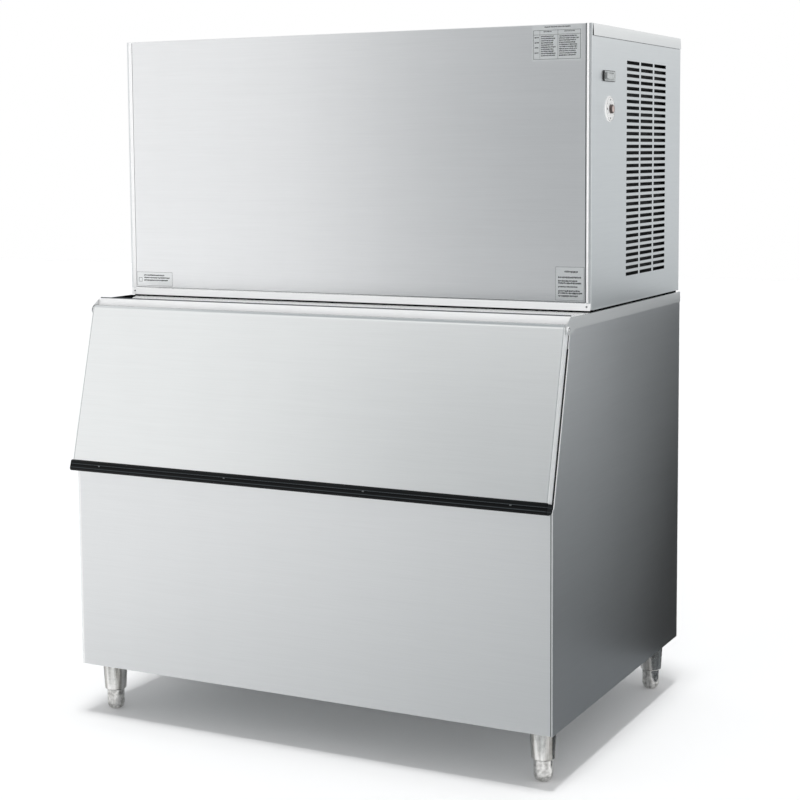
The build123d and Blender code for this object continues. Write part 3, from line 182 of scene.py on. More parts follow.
paper = Finish("floor_paper", Base_Color=tone("FEFEFE"), Roughness=0.9)
paper_lift = 0.03
seen = paper.start.node("ShaderNodeLightPath", None, None, "Is Camera Ray") * paper_lift
plain = Wire(paper.tree, paper.shader.outputs[0])
glow = paper.start.node("ShaderNodeEmission", None, {"Strength": 1.0})
lifted = paper.start.node("ShaderNodeMixShader", None, {0: seen, 1: plain, 2: glow})
paper.tree.links.new(lifted.socket, paper.tree.nodes["Material Output"].inputs["Surface"])
floor_reach = 14
flat_card("floor", lying(-floor_reach, -floor_reach, floor_reach, floor_reach, 0), paper)


# Surround and lamps. An even pale room that the camera, metal and glass see as white, a soft lamp
# almost overhead that puts the shadow right under the machine, and a weaker one from the front.
world = bpy.data.worlds.new("surround")
world.use_nodes = True
bpy.context.scene.world = world
room = world.node_tree.nodes["Background"]
path = Wire(world.node_tree, None)
straight, mirrored, through = [
    path.node("ShaderNodeLightPath", None, None, kind)
    for kind in ("Is Camera Ray", "Is Glossy Ray", "Is Transmission Ray")
]
clear = path.math("MAXIMUM", straight, path.math("MAXIMUM", mirrored, through))
surround = clear.mix(tone("C3C4C5"), (1.0, 1.0, 1.0, 1.0))
world.node_tree.links.new(surround.socket, room.inputs["Color"])
room.inputs["Strength"].default_value = 1.0


def soft_lamp(name, energy, spread, source):
    """A distant lamp shining from the source direction, which metal doesn't mirror."""
    data = bpy.data.lights.new(name, "SUN")
    data.energy = energy
    data.angle = math.radians(spread)
    lamp = bpy.data.objects.new(name, data)
    lamp.rotation_euler = Vector(source).to_track_quat("Z", "Y").to_euler()
    lamp.visible_glossy = False
    bpy.context.scene.collection.objects.link(lamp)


soft_lamp("overhead_lamp", 1.48, 7, (0.02, -0.07, 1))
soft_lamp("front_lamp", 0.9, 30, (0.35, -1, 0.16))


# Reflecting cards. Grey boards set up round the machine as a photographer does beside bright
# metal; only reflections see them, and each may fade from one grey to another.
def standing(start, end, low, high):
    """The corners of an upright rectangle over a line on the floor."""
    return [(*start, low), (*end, low), (*end, high), (*start, high)]


def mirror_card(name, corners, shade, other=None, start=(0, 0, 0), slope=(0, 0, 0)):
    """A grey card that only reflections see, its shade changing along the slope from the start."""
    finish = Finish(
        name,
        Base_Color=(0, 0, 0, 1),
        Roughness=1.0,
        Emission_Color=tone(shade),
        Emission_Strength=1.0,
        Specular_IOR_Level=0.0,
    )
    if other:
        inputs = {0: finish.place, 1: slope}
        run = finish.place.node("ShaderNodeVectorMath", {"operation": "DOT_PRODUCT"}, inputs, "Value")
        begin = sum(a * b for a, b in zip(start, slope))
        finish.feed(Emission_Color=run.ramp(begin, begin + 1.0).mix(tone(shade), tone(other)))
    card = flat_card(name, corners, finish)
    card.visible_camera = False
    card.visible_diffuse = False
    card.visible_shadow = False
    card.visible_transmission = False


skim = 0.004
board_far = -5.2
board_left, board_right = -3.6, 3.6
beside = 0.63
mirror_card("card_front", standing((-2.6, board_far), (3.4, board_far), 0, 3.2), "A8ABAD")
low_front = [(-3.2, -0.5, skim), (2.4, -0.5, skim), (3.4, board_far, skim), (-3.2, board_far, skim)]
mirror_card("card_front_low", low_front, "F6F7F7", "BEC1C2", (-1.5, 0, 0), (0.55, 0, 0))
right_near, right_far, right_join = (0.9, 4.2), (4.6, 2.6), 0.9
mirror_card("card_right", standing(right_near, right_far, right_join, 1.95), "D6D9DB")
mirror_card("card_right_low", standing(right_near, right_far, 0, right_join),
            "9DA1A3", "D6D9DB", (0, 0, 0.1), (0, 0, 1.0))
mirror_card("card_behind", standing((beside, 0.62), (1.0, 0.62), 0, 0.98),
            "020303", "6E7274", (0.68, 0, 0.4), (3.2, 0, 1.0))
mirror_card("card_low", lying(beside, -0.3, board_right, 4.0, skim),
            "64686B", "7A7F81", (0, 0.3, 0), (0, 0.45, 0))
mirror_card("card_low_left", lying(board_left, -0.3, -beside, 4.0, skim),
            "C9CDCF", "9DA1A4", (-0.7, 0, 0), (-0.5, 0, 0))
mirror_card("card_left", standing((board_left, -1.2), (board_left, 3.4), 0, 2.8),
            "9A9EA0", "E2E4E5", (0, 0, 0.2), (0, 0.06, 0.42))
mirror_card("card_above", lying(-3, -3, 3, 3, 5), "B4B8BA", "E6E8E9", (0, -1.2, 0), (0.05, 0.4, 0))


# Storage bin outer panels. Stainless sheet, brushed from side to side, folded at the edges and
# held by the foam behind them.
def dress(finish, *names):
    """Gives CAD nodes a finish."""
    for name in names:
        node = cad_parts[name]
        node.material_slots[0].link = "OBJECT"
        node.material_slots[0].material = finish.material


def brushed(name, shade, roughness, grain=0.0000025, satin=0.02, metal=1.0):
    """Sheet steel brushed along the wide direction of each face, with faint upright bands of painted
    reflection.
    """
    finish = Finish(name, Metallic=metal)
    fine = finish.place.scaled(9, 9, 520).noise(1.0, 4.0)
    streak = finish.place.scaled(2.5, 2.5, 90).noise(1.0)
    # Painted reflection: upright bands of lighter and darker tone, as brushed steel's reflections spread up
    # and down.
    reflection_column = finish.place.scaled(11, 11, 0.8).noise(1.0, 2.0)
    cloud = finish.place.scaled(3, 3, 2).noise(1.0)
    level = 0.5 + 0.9 * (fine - 0.5) + 0.35 * (reflection_column - 0.5) + 0.4 * (streak - 0.5)
    dark = (*[0.93 * part for part in tone(shade)[:3]], 1.0)
    rough = roughness + satin * (fine + streak + cloud - 1.5)
    finish.sheen = level.mix(dark, tone(shade))
    return finish.feed(Base_Color=finish.sheen, Roughness=rough, Normal=(fine + 0.6 * streak).bump(grain))


bin_steel = brushed("bin_panel", "EFF0F1", 0.33)
dress(bin_steel, "bin_front_panel", "bin_side_left", "bin_side_right")


# Back and underside of the bin. Plain galvanised sheet with its faint spangle, closed by zinc
# plated screws round the edge of the back.
galvanised = Finish("galvanised_sheet", Metallic=0.9)
cell_inputs = {"Vector": galvanised.place, "Scale": 55.0}
crystal = galvanised.place.node("ShaderNodeTexVoronoi", None, cell_inputs, "Color").axis("X")
bloom = galvanised.place.noise(9.0, 4.0)
galvanised.feed(
    Base_Color=(0.6 * crystal + 0.4 * bloom).mix(tone("A5A9AB"), tone("C6CACC")),
    Roughness=0.38 + 0.14 * crystal + 0.1 * bloom,
    Normal=galvanised.place.noise(140.0).bump(0.00004),
)
dress(galvanised, "bin_back_panel", "bin_base")


def circle(centre, across, other, radius, sides):
    """Evenly spaced points of a circle in the plane of two directions."""
    turns = [math.tau * k / sides for k in range(sides)]
    return [Vector(centre) + radius * (math.cos(a) * across + math.sin(a) * other) for a in turns]


def screw_head(mesh, centre, facing, radius, height):
    """A domed screw head with a shallow round socket, standing on the given point."""
    facing = Vector(facing).normalized()
    across = facing.orthogonal().normalized()
    other = facing.cross(across)
    sides = 20
    profile = ((1.0, 0.0), (0.96, 0.55), (0.72, 0.9), (0.45, 1.0), (0.38, 0.55))
    rings = []
    for reach, lift in profile:
        middle = Vector(centre) + facing * lift * height
        ring = circle(middle, across, other, reach * radius, sides)
        rings.append([mesh.verts.new(point) for point in ring])
    for low, high in zip(rings, rings[1:]):
        for k in range(sides):
            mesh.faces.new((low[k - 1], low[k], high[k], high[k - 1]))
    mesh.faces.new(rings[-1])


screw_zinc = Finish("screw_zinc", Metallic=1.0)
plating = screw_zinc.place.noise(300.0)
screw_zinc.feed(Base_Color=plating.mix(tone("9DA1A3"), tone("D8DBDC")), Roughness=0.25 + 0.2 * plating)


def panel_screws(name, node, columns, rows):
    """Zinc plated screws round the edge of a back panel."""
    low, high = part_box(node)
    inset, radius, height = 0.009, 0.0042, 0.0018
    mesh = bmesh.new()
    for i in range(columns + 1):
        for k in range(rows + 1):
            if i in (0, columns) or k in (0, rows):
                x = low.x + inset + (high.x - low.x - 2 * inset) * i / columns
                z = low.z + inset + (high.z - low.z - 2 * inset) * k / rows
                screw_head(mesh, (x, high.y, z), (0, 1, 0), radius, height)
    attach(piece_from(name, mesh, screw_zinc), "cabinet")


panel_screws("bin_back_screws", "bin_back_panel", 4, 3)


# Insulation. Rigid foam poured between the outer sheets and the liners of bin and door, with the
# yellowed skin that it gets where it met the mould.
foam = Finish("foam", Roughness=0.95)
bubbles = foam.place.node("ShaderNodeTexVoronoi", None, {"Vector": foam.place, "Scale": 420.0}, "Distance")
rind = foam.place.noise(22.0, 5.0)
foam.feed(
    Base_Color=(0.5 * bubbles + 0.7 * rind).mix(tone("C9A86A"), tone("E8D6A4")),
    Normal=(bubbles + 2.0 * rind).bump(0.0006),
)
dress(foam, "bin_foam", "door_foam")


# Liners. White moulded sheet with a slight orange peel, inside the bin and on the back of the
# door, glued to the foam and a little dulled where the scoop rubs.
liner_white = Finish("white_liner")
orange_peel = liner_white.place.noise(160.0, 2.0)
wear = liner_white.place.noise(7.0, 5.0)
liner_white.feed(
    Base_Color=wear.ramp(0.45, 0.85).mix(tone("EDEEEC"), tone("E4E6E3")),
    Roughness=0.3 + 0.18 * wear,
    Normal=orange_peel.bump(0.00008),
)
dress(liner_white, "bin_liner", "door_liner")


# Water fittings. Grey moulded drain spigots, pump, float and its valve, pushed or screwed into
# the sheets that carry them.
def moulded(name, shade, worn, roughness, grain=260.0, height=0.00006):
    """Moulded plastic or rubber with a fine texture and handled patches."""
    finish = Finish(name)
    pebble = finish.place.noise(grain)
    handled = finish.place.noise(14.0, 5.0).ramp(0.45, 0.8)
    return finish.feed(
        Base_Color=(0.8 * handled + 0.2 * pebble).mix(tone(shade), tone(worn)),
        Roughness=roughness + 0.12 * pebble + 0.08 * handled,
        Normal=pebble.bump(height),
    )


grey_plastic = moulded("grey_plastic", "7D8285", "8B9092", 0.42)
dress(grey_plastic, "bin_drain", "head_drain", "water_pump", "float_arm", "float_valve")


# Mouth of the bin. A black moulded frame round the opening, and the soft black gasket that the
# closed door presses on.
black_plastic = moulded("black_plastic", "1B1C1D", "2A2C2D", 0.45)
black_rubber = moulded("black_rubber", "121314", "232425", 0.62, 380.0, 0.0001)
dress(black_plastic, "mouth_frame")
dress(black_rubber, "door_gasket")


# Top of the bin. A folded steel rim with an ear at each end, and the rail that hides the hinge,
# made white as a painted highlight, with a dark strip of painted shadow where it meets the rim.
bright_steel = brushed("bright_steel", "F2F3F3", 0.17, 0.000002, 0.01)
# Painted highlight: near-white steel with little metal in it, so bends and rails render white.
highlight_steel = brushed("painted_highlight_edge", "FDFDFD", 0.42, metal=0.15)
dress(highlight_steel, "hinge_rail")
rim_steel = brushed("bin_top_rim", "F2F3F3", 0.33)
rim_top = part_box("bin_top_rim")[1].z
lying_part = rim_steel.place.axis("Z").ramp(rim_top - 0.0012, rim_top - 0.0005)
rim_steel.feed(Roughness=0.42 - 0.2 * lying_part)
dress(rim_steel, "bin_top_rim")


def strip(name, rails, finish, body):
    """A thin strip over rails of points, each rail running the same way."""
    mesh = bmesh.new()
    rows = [[mesh.verts.new(point) for point in rail] for rail in rails]
    for row, following in zip(rows, rows[1:]):
        for i in range(len(row) - 1):
            mesh.faces.new((row[i], row[i + 1], following[i + 1], following[i]))
    made = piece_from(name, mesh, finish)
    for face in made.data.polygons:
        face.use_smooth = True
    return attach(made, body)


def slanted(first, last, steps=4):
    """Evenly spaced points of a straight line between two points."""
    return [tuple(a + (b - a) * i / steps for a, b in zip(first, last)) for i in range(steps + 1)]


def along_x(profile, ends):
    """Copies of a (y, z) profile at the ends of a strip that runs from side to side."""
    return [[(x, y, z) for y, z in profile] for x in ends]


hinge_low, hinge_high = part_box("hinge_rail")
rail_ends = (hinge_low.x, hinge_high.x)
cover_drop = 0.0028
cover_foot = (hinge_low.y - 0.0014, hinge_low.z - cover_drop)
cover_head = (hinge_low.y - 0.0002, hinge_high.z)
strip("hinge_rail_cover", along_x(slanted(cover_foot, cover_head), rail_ends), highlight_steel, "cabinet")
# Painted shade: dark strips laid in the gap behind the rail and in the right-hand joints.
painted_shade_line = moulded("painted_shade_line", "54585A", "6B6F71", 0.6, 380.0, 0.00002)
shade_foot = (hinge_high.y + 0.0001, hinge_high.z - 0.0006)
shade_head = (hinge_high.y + 0.0004, hinge_high.z + 0.0026)
strip("rail_shade_line", along_x([shade_foot, shade_head], rail_ends), painted_shade_line, "cabinet")


# Hinge pins. Two turned steel pins pushed through the ears into the door's blocks, each with a
# dark ring round its end that paints the shade of a groove.
def band(along, middle, half, soft):
    """One between two places along an axis, with soft edges, and nothing outside them."""
    return along.ramp(middle - half - soft, middle - half) * along.ramp(middle + half + soft, middle + half)


def off_axis(finish, middle):
    """The squared distance from a level axis that runs from side to side through the middle."""
    y = finish.place.axis("Y") - middle.y
    z = finish.place.axis("Z") - middle.z
    return y * y + z * z


pin_steel = brushed("pin_steel", "F8F9F9", 0.3, metal=0.5)
pin_low, pin_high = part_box("hinge_pins")
pin_square = ((pin_high.z - pin_low.z) / 2) ** 2
from_axis = off_axis(pin_steel, (pin_low + pin_high) / 2)
groove_shade = band(from_axis, 0.42 * pin_square, 0.12 * pin_square, 0.08 * pin_square)
pin_steel.feed(Base_Color=groove_shade.mix(pin_steel.sheen, tone("2A2D2E")))
dress(pin_steel, "hinge_pins")


# Slanted edges of the bin's sides. A white strip along the folded edge paints its highlight, and
# beside it the gasket's lip shows as a black line, where the closed door squeezes it out.
fold_low, fold_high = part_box("bin_side_right")
slope_foot = Vector((0, fold_low.y, 0.605))
slope_head = Vector((0, fold_low.y + 0.104, rim_top))
up_slope = (slope_head - slope_foot).normalized()
off_slope = Vector((0, -up_slope.z, up_slope.y))
lip_start, lip_end = 0.006, 0.345
lip_front, lip_back = 0.0041, 0.0004
lip_proud, lip_deep = 0.0004, 0.0016
fold_proud, fold_width = 0.0003, 0.0052
hands = ((-1, "left"), (1, "right"))
for hand, which in hands:
    side = Vector((hand, 0, 0))
    ends = [slope_foot + up_slope * run for run in (lip_start, lip_end)][::hand]
    outer = side * (fold_high.x + lip_proud)
    inner = side * (fold_high.x - lip_deep)
    back, front = off_slope * lip_back, off_slope * lip_front
    lip = [inner + back, outer + back, outer + front, inner + front]
    rails = [[end + corner for corner in lip] for end in ends]
    strip("gasket_edge_" + which, rails, black_rubber, "cabinet")
    outside = side * (fold_high.x + fold_proud)
    fold_highlight = [outside + off_slope * reach for reach in (lip_back, -fold_width)]
    strip("fold_highlight_" + which, [[end + corner for corner in fold_highlight] for end in ends], highlight_steel, "cabinet")


# Door. One folded skin over foam and a white inner pan, turning on a block at each end. The skin
# has the same side-to-side grain as the panel under it; its turned-in ends are made paler as
# painted light, with painted shade along the turn and along the fold at its top.
door_steel = brushed("door_panel", "F3F5F5", 0.33)
skin_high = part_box("door_skin")[1]
span = abs(door_steel.place.axis("X"))
# Painted light on the turned-in ends, painted shade along the turn and the top fold.
lit_end_face = span.ramp(skin_high.x - 0.0007, skin_high.x - 0.0002)
shade_turn_line = band(span, skin_high.x - 0.0024, 0.0003, 0.0008)
fold_start, fold_full = 0.9862, 0.9885
shade_top_fold = door_steel.place.axis("Z").ramp(fold_start, fold_full)
door_steel.feed(
    Metallic=1.0 - 0.8 * lit_end_face - 0.6 * shade_turn_line,
    Base_Color=shade_turn_line.mix(shade_top_fold.mix(door_steel.sheen, tone("DADDDE")), tone("A4A8A9")),
)
dress(door_steel, "door_skin")
dress(black_plastic, "door_pivot_blocks")


# Handle. A black grooved section along the whole lower edge of the door, screwed on at four
# places and closed by two end caps; paler lines along the groove's edges are painted highlights.
handle_black = Finish("handle_black", Specular_IOR_Level=0.12)
drawn = handle_black.place.scaled(6, 500, 500).noise(1.0)
touched = handle_black.place.scaled(3, 40, 40).noise(1.0, 4.0).ramp(0.4, 0.8)
climb = up_slope.y * handle_black.place.axis("Y") + up_slope.z * handle_black.place.axis("Z")
climb_foot = up_slope.dot(slope_foot)
# Painted highlights along the edges of the groove, with faint wear and grain.
upper_glint, lower_glint = [band(climb, climb_foot + level, 0.0003, 0.0006) for level in (0.0084, -0.0005)]
glints_and_wear = 0.9 * (upper_glint + lower_glint) + 0.06 * touched + 0.05 * drawn
handle_black.feed(
    Base_Color=glints_and_wear.mix(tone("060708"), tone("42474A")),
    Roughness=0.3 + 0.14 * drawn + 0.1 * touched,
    Normal=drawn.bump(0.00003),
)
dress(handle_black, "door_handle", "handle_end_caps")
screw_grey = moulded("screw_grey", "5E6264", "8A8E90", 0.3, 400.0, 0.00001)
handle_screws = bmesh.new()
handle_nose = slope_foot + off_slope * 0.0312 + up_slope * 0.0065
for x in (-0.53, -0.18, 0.18, 0.53):
    screw_head(handle_screws, handle_nose + Vector((x, 0, 0)), off_slope, 0.0026, 0.0011)
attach(piece_from("handle_screws", handle_screws, screw_grey), "door")


# Legs. Turned and polished stainless sleeves that taper downwards, with bullet feet screwed in;
# bands of light and dark are painted up the sleeves as reflections, and the feet carry a painted
# mottle of reflection.
def turned_steel(name, shade, light, roughness, mottle):
    """Turned steel whose polish runs up and down, with painted reflections as darker streaks between lighter
    ones and as a mottle.
    """
    finish = Finish(name, Metallic=1.0)
    reflection_streaks = finish.place.scaled(60, 60, 3).noise(1.0).ramp(0.38, 0.62)
    rings = finish.place.scaled(8, 8, 900).noise(1.0, 2.0)
    mottled_reflection = finish.place.noise(120.0, 4.0).ramp(0.35, 0.65)
    return finish.feed(
        Base_Color=((0.85 - mottle) * reflection_streaks + 0.15 * rings + mottle * mottled_reflection).mix(tone(shade), tone(light)),
        Roughness=roughness + 0.1 * rings + 0.08 * mottled_reflection,
        Normal=rings.bump(0.000004),
    )


leg_steel = turned_steel("leg_steel", "85837E", "FFFEFC", 0.13, 0.1)
foot_steel = turned_steel("foot_steel", "7A7874", "FBFAF8", 0.1, 0.5)
for corner in ("front_left", "front_right", "back_left", "back_right"):
    dress(leg_steel, "leg_sleeve_" + corner)
    dress(foot_steel, "foot_" + corner)


# Head casing panels. Brushed stainless sheet, screwed to the base pan; the right side is punched
# with three columns of louvres, painted black in and just round each slot as shade.
head_steel = brushed("head_panel", "E6E9EA", 0.33)
# Painted light: the front panel's steel is a paler copy of the sides', so the front reads brighter.
front_steel = brushed("head_front", "F2F3F4", 0.29)
louvred_steel = brushed("louvred_panel", "E6E9EA", 0.33)
dress(head_steel, "head_side_left")
dress(front_steel, "head_front_panel")


def slot_mask(along, middle, pitch, count, half, soft):
    """One inside each of evenly pitched slots along an axis, and nothing between them."""
    turns = (along - middle) * (1 / pitch) + count / 2
    off_centre = abs(turns.math("FRACT", turns) - 0.5) * pitch
    return off_centre.ramp(half + soft, half) * band(along, middle, pitch * count / 2 - soft, soft)


wall_front, wall_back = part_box("head_side_right")
panel_y, panel_z = louvred_steel.place.axis("Y"), louvred_steel.place.axis("Z")
louvre_middle_y, louvre_middle_z = wall_back.y - 0.253, 1.3145
# Painted shade: black and without metal in and just round each slot.
slot_shade = (
    slot_mask(panel_z, louvre_middle_z, 0.0146, 34, 0.0040, 0.00025)
    * slot_mask(panel_y, louvre_middle_y, 0.0965, 3, 0.0428, 0.0003)
)
louvred_steel.feed(
    Base_Color=slot_shade.mix(louvred_steel.sheen, tone("0C0D0E")),
    Metallic=1.0 - slot_shade,
)
dress(louvred_steel, "head_side_right")


# Base pan, lid, back and inner sheets of the head. The pan and the lid are bright steel and the
# rest is galvanised; a black seal strip lies between the head and the bin.
dress(bright_steel, "head_base", "head_lid")
dress(galvanised, "head_back_panel", "partition", "control_box")
panel_screws("head_back_screws", "head_back_panel", 4, 2)
# This black also paints the dark reflection on the rim by the head's left corner.
seal_and_reflection_black = moulded("seal_and_reflection_black", "050606", "0E0F10", 0.7, 380.0, 0.00005)
seal_and_reflection_black.shader.inputs["Specular IOR Level"].default_value = 0.0
dress(seal_and_reflection_black, "head_seal")


# Front rail of the base pan. A folded steel edge below the front panel, made white as a painted
# highlight, whose face leans out a little at the foot, with a small screw near each end.
front_y = wall_front.y
rail_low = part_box("head_base")[0].z - 0.0016
rail_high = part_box("head_front_panel")[0].z - 0.0012
rail_half = 0.6088
rail_face = slanted((front_y - 0.0022, rail_low), (front_y + 0.0002, rail_high))
strip("base_rail_trim", along_x(rail_face, (-rail_half, rail_half)), highlight_steel, "cabinet")
rail_screws = bmesh.new()
for x in (-0.6, 0.6):
    screw_head(rail_screws, (x, front_y - 0.0012, (rail_low + rail_high) / 2), (0, -1, 0.15), 0.0021, 0.0008)
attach(piece_from("rail_screws", rail_screws, screw_grey), "cabinet")


# Corner trims and joints. White strips at the head's front corners and up the bin's left one paint
# the highlight on the folded edges. Dark strips paint the shade in the right-hand joints only; the
# left ones get none.
def upright(name, near, far, low, high, finish):
    """A strip up the front between two (x, y) points, on the side that the points are on."""
    ends = (high, low) if near[0] > 0 else (low, high)
    rails = [[(x, y, z) for x, y in slanted(near, far)] for z in ends]
    strip(name, rails, finish, "cabinet")


head_top = wall_back.z
trim_edge, trim_y = 0.6042, front_y - 0.0014
joint_y = front_y - 0.0001
bin_y = fold_low.y - 0.0001
bin_foot, bin_head = fold_low.z + 0.001, slope_foot.z - 0.001
inner_left, inner_right = (-0.5956, joint_y), (0.5980, front_y + 0.0002)
upright("corner_trim_left", inner_left, (-trim_edge, trim_y), rail_high, head_top, highlight_steel)
upright("corner_trim_right", inner_right, (trim_edge, trim_y), rail_high, head_top, highlight_steel)
upright("bin_trim_left", (-0.6080, bin_y), (-0.6112, bin_y), bin_foot, bin_head, highlight_steel)
upright("panel_shade_line", (0.5955, joint_y), (0.5981, joint_y), rail_high, head_top, painted_shade_line)
upright("bin_shade_line", (0.6086, bin_y), (0.6107, bin_y), bin_foot, bin_head, painted_shade_line)


# Lid edges and side hems. The lid's folded sides swell out over the side panels, and each side
# panel ends in a narrow rolled hem just above the seal.
def along_y(profile, ends):
    """Copies of an (x, z) profile at the ends of a strip that runs from front to back."""
    return [[(x, y, z) for x, z in profile] for y in ends]


lid_steel = brushed("lid_steel", "E9EBEB", 0.3)
lid_low, lid_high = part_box("head_lid")
lid_proud, lid_swell, lid_gap, lid_deep = 0.0002, 0.0015, 0.0006, 0.0252
lid_rows = 6
hem_points = ((0.0002, 1.0112), (0.0005, 1.0098), (0.0002, 1.0086))
for hand, which in hands:
    ends = (lid_low.y, lid_high.y)[::-hand]
    lid_side = []
    for i in range(lid_rows + 1):
        share = i / lid_rows
        out = lid_high.x + lid_proud + lid_swell * share ** 0.7
        lid_side.append((hand * out, lid_high.z - lid_gap - lid_deep * share))
    strip("lid_trim_" + which, along_y(lid_side, ends), lid_steel, "cabinet")
    hem = [(hand * (wall_back.x + out), z) for out, z in hem_points]
    strip("side_hem_" + which, along_y(hem, ends), head_steel, "cabinet")


# Dark patch. A flat black patch on the rim beside the head's left front corner, a painted dark
# reflection of what lies past the head's edge.
dark_patch = bmesh.new()
patch_z = rim_top + 0.0003
patch_outline = (
    (-0.6140, -0.306), (-0.540, -0.304), (-0.560, -0.256),
    (-0.582, -0.212), (-0.6000, -0.189), (-0.6140, -0.184),
)
dark_patch.faces.new([dark_patch.verts.new((x, y, patch_z)) for x, y in patch_outline])
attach(piece_from("corner_dark_reflection", dark_patch, seal_and_reflection_black), "cabinet")


# Labels on the front panel. Thin printed foil, stuck on after the panel was screwed down; the
# ruled fields and rows of small bars stand for print and say nothing.
label_foil = Finish("label_foil", Metallic=0.95)
foil_grain = label_foil.place.scaled(60, 60, 400).noise(1.0)
label_foil.feed(
    Base_Color=foil_grain.mix(tone("E6E9EA"), tone("F4F5F5")),
    Roughness=0.28 + 0.1 * foil_grain,
    Normal=foil_grain.bump(0.00001),
)
label_ink = Finish("label_ink")
ink_patch = label_ink.place.noise(900.0, 2.0)
label_ink.feed(Base_Color=ink_patch.mix(tone("0E1011"), tone("26292B")), Roughness=0.5 + 0.1 * ink_patch)
rng = random.Random(7)
foil_out = 0.00015
ink_out = 0.00022


def sheet_at(mesh, left, low, right, high, out=ink_out):
    """One flat rectangle in front of the head's front panel, in millimetres."""
    corners = [(left, low), (right, low), (right, high), (left, high)]
    mesh.faces.new([mesh.verts.new((x / 1000, front_y - out, z / 1000)) for x, z in corners])


def ruled(mesh, left, low, right, high, line):
    """The four thin sides of a ruled box."""
    sheet_at(mesh, left, low, right, low + line)
    sheet_at(mesh, left, high - line, right, high)
    sheet_at(mesh, left, low, left + line, high)
    sheet_at(mesh, right - line, low, right, high)


def bars(mesh, left, low, right, high, pitch, tall):
    """Rows of short bars of uneven length, as small print looks from a step away."""
    z = high - tall
    while z > low:
        x = left
        stop = right - rng.uniform(0, 0.25) * (right - left)
        while x < stop:
            long = rng.uniform(1.2, 2.8)
            drop, rise = rng.uniform(0, 0.3) * tall, rng.uniform(0.8, 1.0) * tall
            sheet_at(mesh, x, z + drop, min(x + long, stop), z + rise)
            x += long + rng.uniform(0.4, 1.0)
        z -= pitch


def label(name, left, low, right, high, draw):
    """A foil with its print, riding on the cabinet."""
    foil = bmesh.new()
    sheet_at(foil, left, low, right, high, foil_out)
    ink = bmesh.new()
    draw(ink)
    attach(piece_from(name, foil, label_foil), "cabinet")
    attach(piece_from(name + "_print", ink, label_ink), "cabinet")


def wiring_table(ink):
    """A title over a table of three columns under a row of headings."""
    left, low, right, high = 474, 1555, 584, 1618
    first_rule, second_rule, heading_rule = 489, 531, 1608
    ruled(ink, left, low, right, high, 0.7)
    sheet_at(ink, first_rule, low, first_rule + 0.5, high)
    sheet_at(ink, second_rule, low, second_rule + 0.6, high)
    sheet_at(ink, left, heading_rule, right, heading_rule + 0.6)
    bars(ink, 500, high + 3, 566, high + 8, 6, 2.6)
    bars(ink, 498, heading_rule + 2, 522, high - 2, 7, 2.4)
    bars(ink, 546, heading_rule + 2, 572, high - 2, 7, 2.4)
    bars(ink, first_rule + 3, low + 3, second_rule - 2, heading_rule - 2, 4.6, 3.1)
    bars(ink, second_rule + 3, low + 3, right - 2, heading_rule - 2, 4.6, 3.1)
    bars(ink, left + 3, low + 7, first_rule - 2, heading_rule - 4, 11.0, 3.2)


def notice(ink):
    """A ruled field with a title and five short paragraphs."""
    ruled(ink, 527, 1029, 594, 1103, 0.5)
    bars(ink, 548, 1089, 582, 1095, 8, 5.4)
    for low, high in ((1077, 1082), (1064, 1074), (1055, 1061), (1042, 1052), (1034, 1041)):
        bars(ink, 533, low, 590, high, 4.8, 4.2)


def small_notice(ink):
    """A ruled field with a few rows and a small empty box before them."""
    ruled(ink, -593.5, 1030, -488, 1064, 0.5)
    bars(ink, -572, 1036, -493, 1058, 6.2, 4.0)
    ruled(ink, -588, 1040, -578, 1050, 0.8)


label("label_table", 471, 1551, 588, 1628.5, wiring_table)
label("label_notice", 527, 1029, 594, 1103, notice)
label("label_small", -593.5, 1030, -488, 1064, small_notice)


# Evaporator. A tinned copper plate with its grid of cells, hung between two moulded brackets, and
# the copper coil soldered to its back, darkened by heat.
tinned = Finish("copper_tinned", Metallic=1.0)
frosting = tinned.place.noise(60.0, 5.0)
tinned.feed(
    Base_Color=frosting.mix(tone("B9BEC0"), tone("D9DCDD")),
    Roughness=0.3 + 0.2 * frosting,
    Normal=frosting.bump(0.00006),
)
dress(tinned, "evaporator")
copper = Finish("copper", Metallic=1.0)
oxide = copper.place.noise(35.0, 6.0)
copper.feed(
    Base_Color=oxide.ramp(0.35, 0.7).mix(tone("C9825A"), tone("8A4F33")),
    Roughness=0.25 + 0.3 * oxide,
    Normal=oxide.bump(0.00008),
)
dress(copper, "evaporator_coil", "filter_drier")


# Water circuit. The clear plastic curtain that hangs before the cells and the clear supply tube,
# and the grey mouldings that carry the plate and spread, catch and let in the water.
clear_plastic = Finish("clear_plastic", IOR=1.49, Transmission_Weight=0.85)
scuff = clear_plastic.place.noise(18.0, 6.0)
clear_plastic.feed(
    Base_Color=scuff.mix(tone("DDE6E8"), tone("C6D2D6")),
    Roughness=0.08 + 0.25 * scuff.ramp(0.5, 0.8),
)
dress(clear_plastic, "splash_curtain", "supply_tube")
dress(grey_plastic, "evaporator_brackets", "water_distributor", "water_trough", "inlet_valve")


# Compressor and fan. Black painted steel, bolted to the base pan and to the shroud, with a black
# moulded rotor; the lead's gland and the thermostat's case are the same plastic.
black_paint = moulded("black_paint", "17181A", "26282A", 0.3, 90.0, 0.00012)
dress(black_paint, "compressor", "fan_motor", "fan_shroud")
dress(black_plastic, "fan_rotor", "power_gland", "thermostat")


# Condenser. A block of fine aluminium fins behind the louvres, coloured near-black as painted
# shade with a mottle of dust, screwed to the fan's shroud.
fins = Finish("aluminium_fins", Metallic=0.3)
dust_and_shade = fins.place.noise(24.0, 5.0)
fin = fins.place.scaled(1, 1, 380).noise(1.0, 2.0)
fins.feed(
    Base_Color=(0.5 * dust_and_shade + 0.5 * fin).mix(tone("0B0C0D"), tone("1B1D1E")),
    Roughness=0.6 + 0.2 * dust_and_shade,
    Normal=fin.bump(0.0003),
)
dress(fins, "condenser")


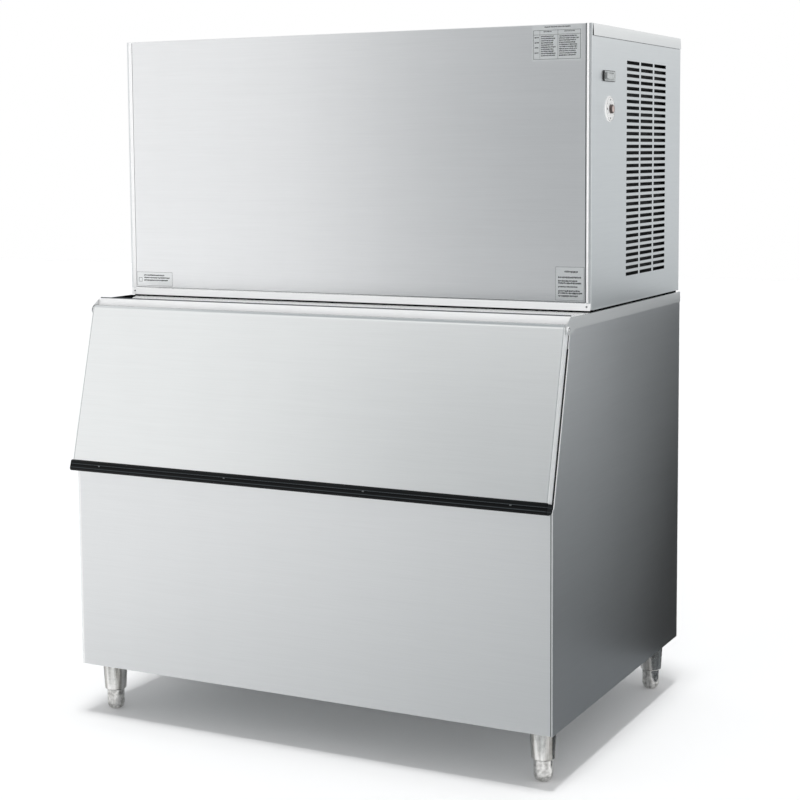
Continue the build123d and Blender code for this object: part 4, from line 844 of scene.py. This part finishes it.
# Switch. A grey moulded rocker with fine upright ribs, in a housing that snaps into the right
# side panel; both are painted black on their edges and near end as shade.
def switch_finish(name, light, dark, low, high, lit_start):
    """Ribbed and light on the face between two heights, and painted dark as shade elsewhere."""
    finish = Finish(name)
    y, z = finish.place.axis("Y"), finish.place.axis("Z")
    waves = y * (math.tau / 0.003)
    ribs = waves.math("SINE", waves)
    edge = 0.0015
    past_shaded_end = y.ramp(lit_start, lit_start + 0.001)
    face = past_shaded_end * band(z, (low + high) / 2, (high - low) / 2 - edge, 0.0005)
    mottle = finish.place.noise(260.0)
    return finish.feed(
        Base_Color=(face * (0.85 + 0.08 * ribs + 0.1 * (mottle - 0.5))).mix(tone(dark), tone(light)),
        Roughness=0.35 + 0.12 * mottle,
        Normal=(ribs * face).bump(0.0002),
    )


case_low, case_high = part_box("switch_housing")
rocker_low, rocker_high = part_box("switch_rocker")
spread = 0.002
rocker_grey = switch_finish("rocker_grey", "DADEDE", "1A1C1D",
                            rocker_low.z - spread, rocker_high.z + spread, rocker_low.y + 0.0001)
housing_grey = switch_finish("housing_grey", "C8CCCC", "141617",
                             case_low.z, case_high.z, case_low.y + 0.0028)
dress(rocker_grey, "switch_rocker")
dress(housing_grey, "switch_housing")


# Dial. A round white moulded plate, snapped into the panel, with four printed marks, eight small
# dots between them and a thin ring round its edge.
dial_white = moulded("dial_white", "FCFCFB", "F2F2F0", 0.3, 120.0, 0.00002)
dress(dial_white, "dial_plate")
dial_low, dial_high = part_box("dial_plate")
dial_centre = (dial_low + dial_high) / 2
dial_face = Vector((dial_high.x + 0.0002, dial_centre.y, dial_centre.z))
backwards, upwards = Vector((0, 1, 0)), Vector((0, 0, 1))
mark_count, ring_sides = 12, 48
dot_ink = bmesh.new()
for turn, middle in enumerate(circle((0, 0, 0), backwards, upwards, 1, mark_count)):
    reach, size = (0.0205, 0.0022) if turn % 3 == 0 else (0.0225, 0.0009)
    dot = circle(dial_face + reach * middle, backwards, upwards, size, 16)
    dot_ink.faces.new([dot_ink.verts.new(point) for point in dot])
inner, outer = [
    [dot_ink.verts.new(point) for point in circle(dial_face, backwards, upwards, reach, ring_sides)]
    for reach in (0.0262, 0.0268)
]
for k in range(ring_sides):
    dot_ink.faces.new((inner[k], outer[k], outer[k - 1], inner[k - 1]))
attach(piece_from("dial_dots", dot_ink, label_ink), "cabinet")


# Knob. A round moulding pushed on the thermostat's spindle in front of the plate, painted dark
# brown round its rim as shade and pale on its face, partly as a painted highlight.
knob_brown = Finish("knob_brown")
knob_face_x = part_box("dial_knob")[1].x
rub = knob_brown.place.noise(300.0)
from_centre = off_axis(knob_brown, dial_centre)
forward = knob_brown.place.axis("X")
lit_round_face = from_centre.ramp(0.0083 ** 2, 0.0058 ** 2)
knob_lit_face = lit_round_face * forward.ramp(knob_face_x - 0.003, knob_face_x - 0.0015)
knob_brown.feed(
    Base_Color=(0.85 * knob_lit_face + 0.15 * rub).mix(tone("241C1B"), tone("DBC4BD")),
    Roughness=0.25 + 0.2 * rub,
    Normal=rub.bump(0.00004),
)
dress(knob_brown, "dial_knob")
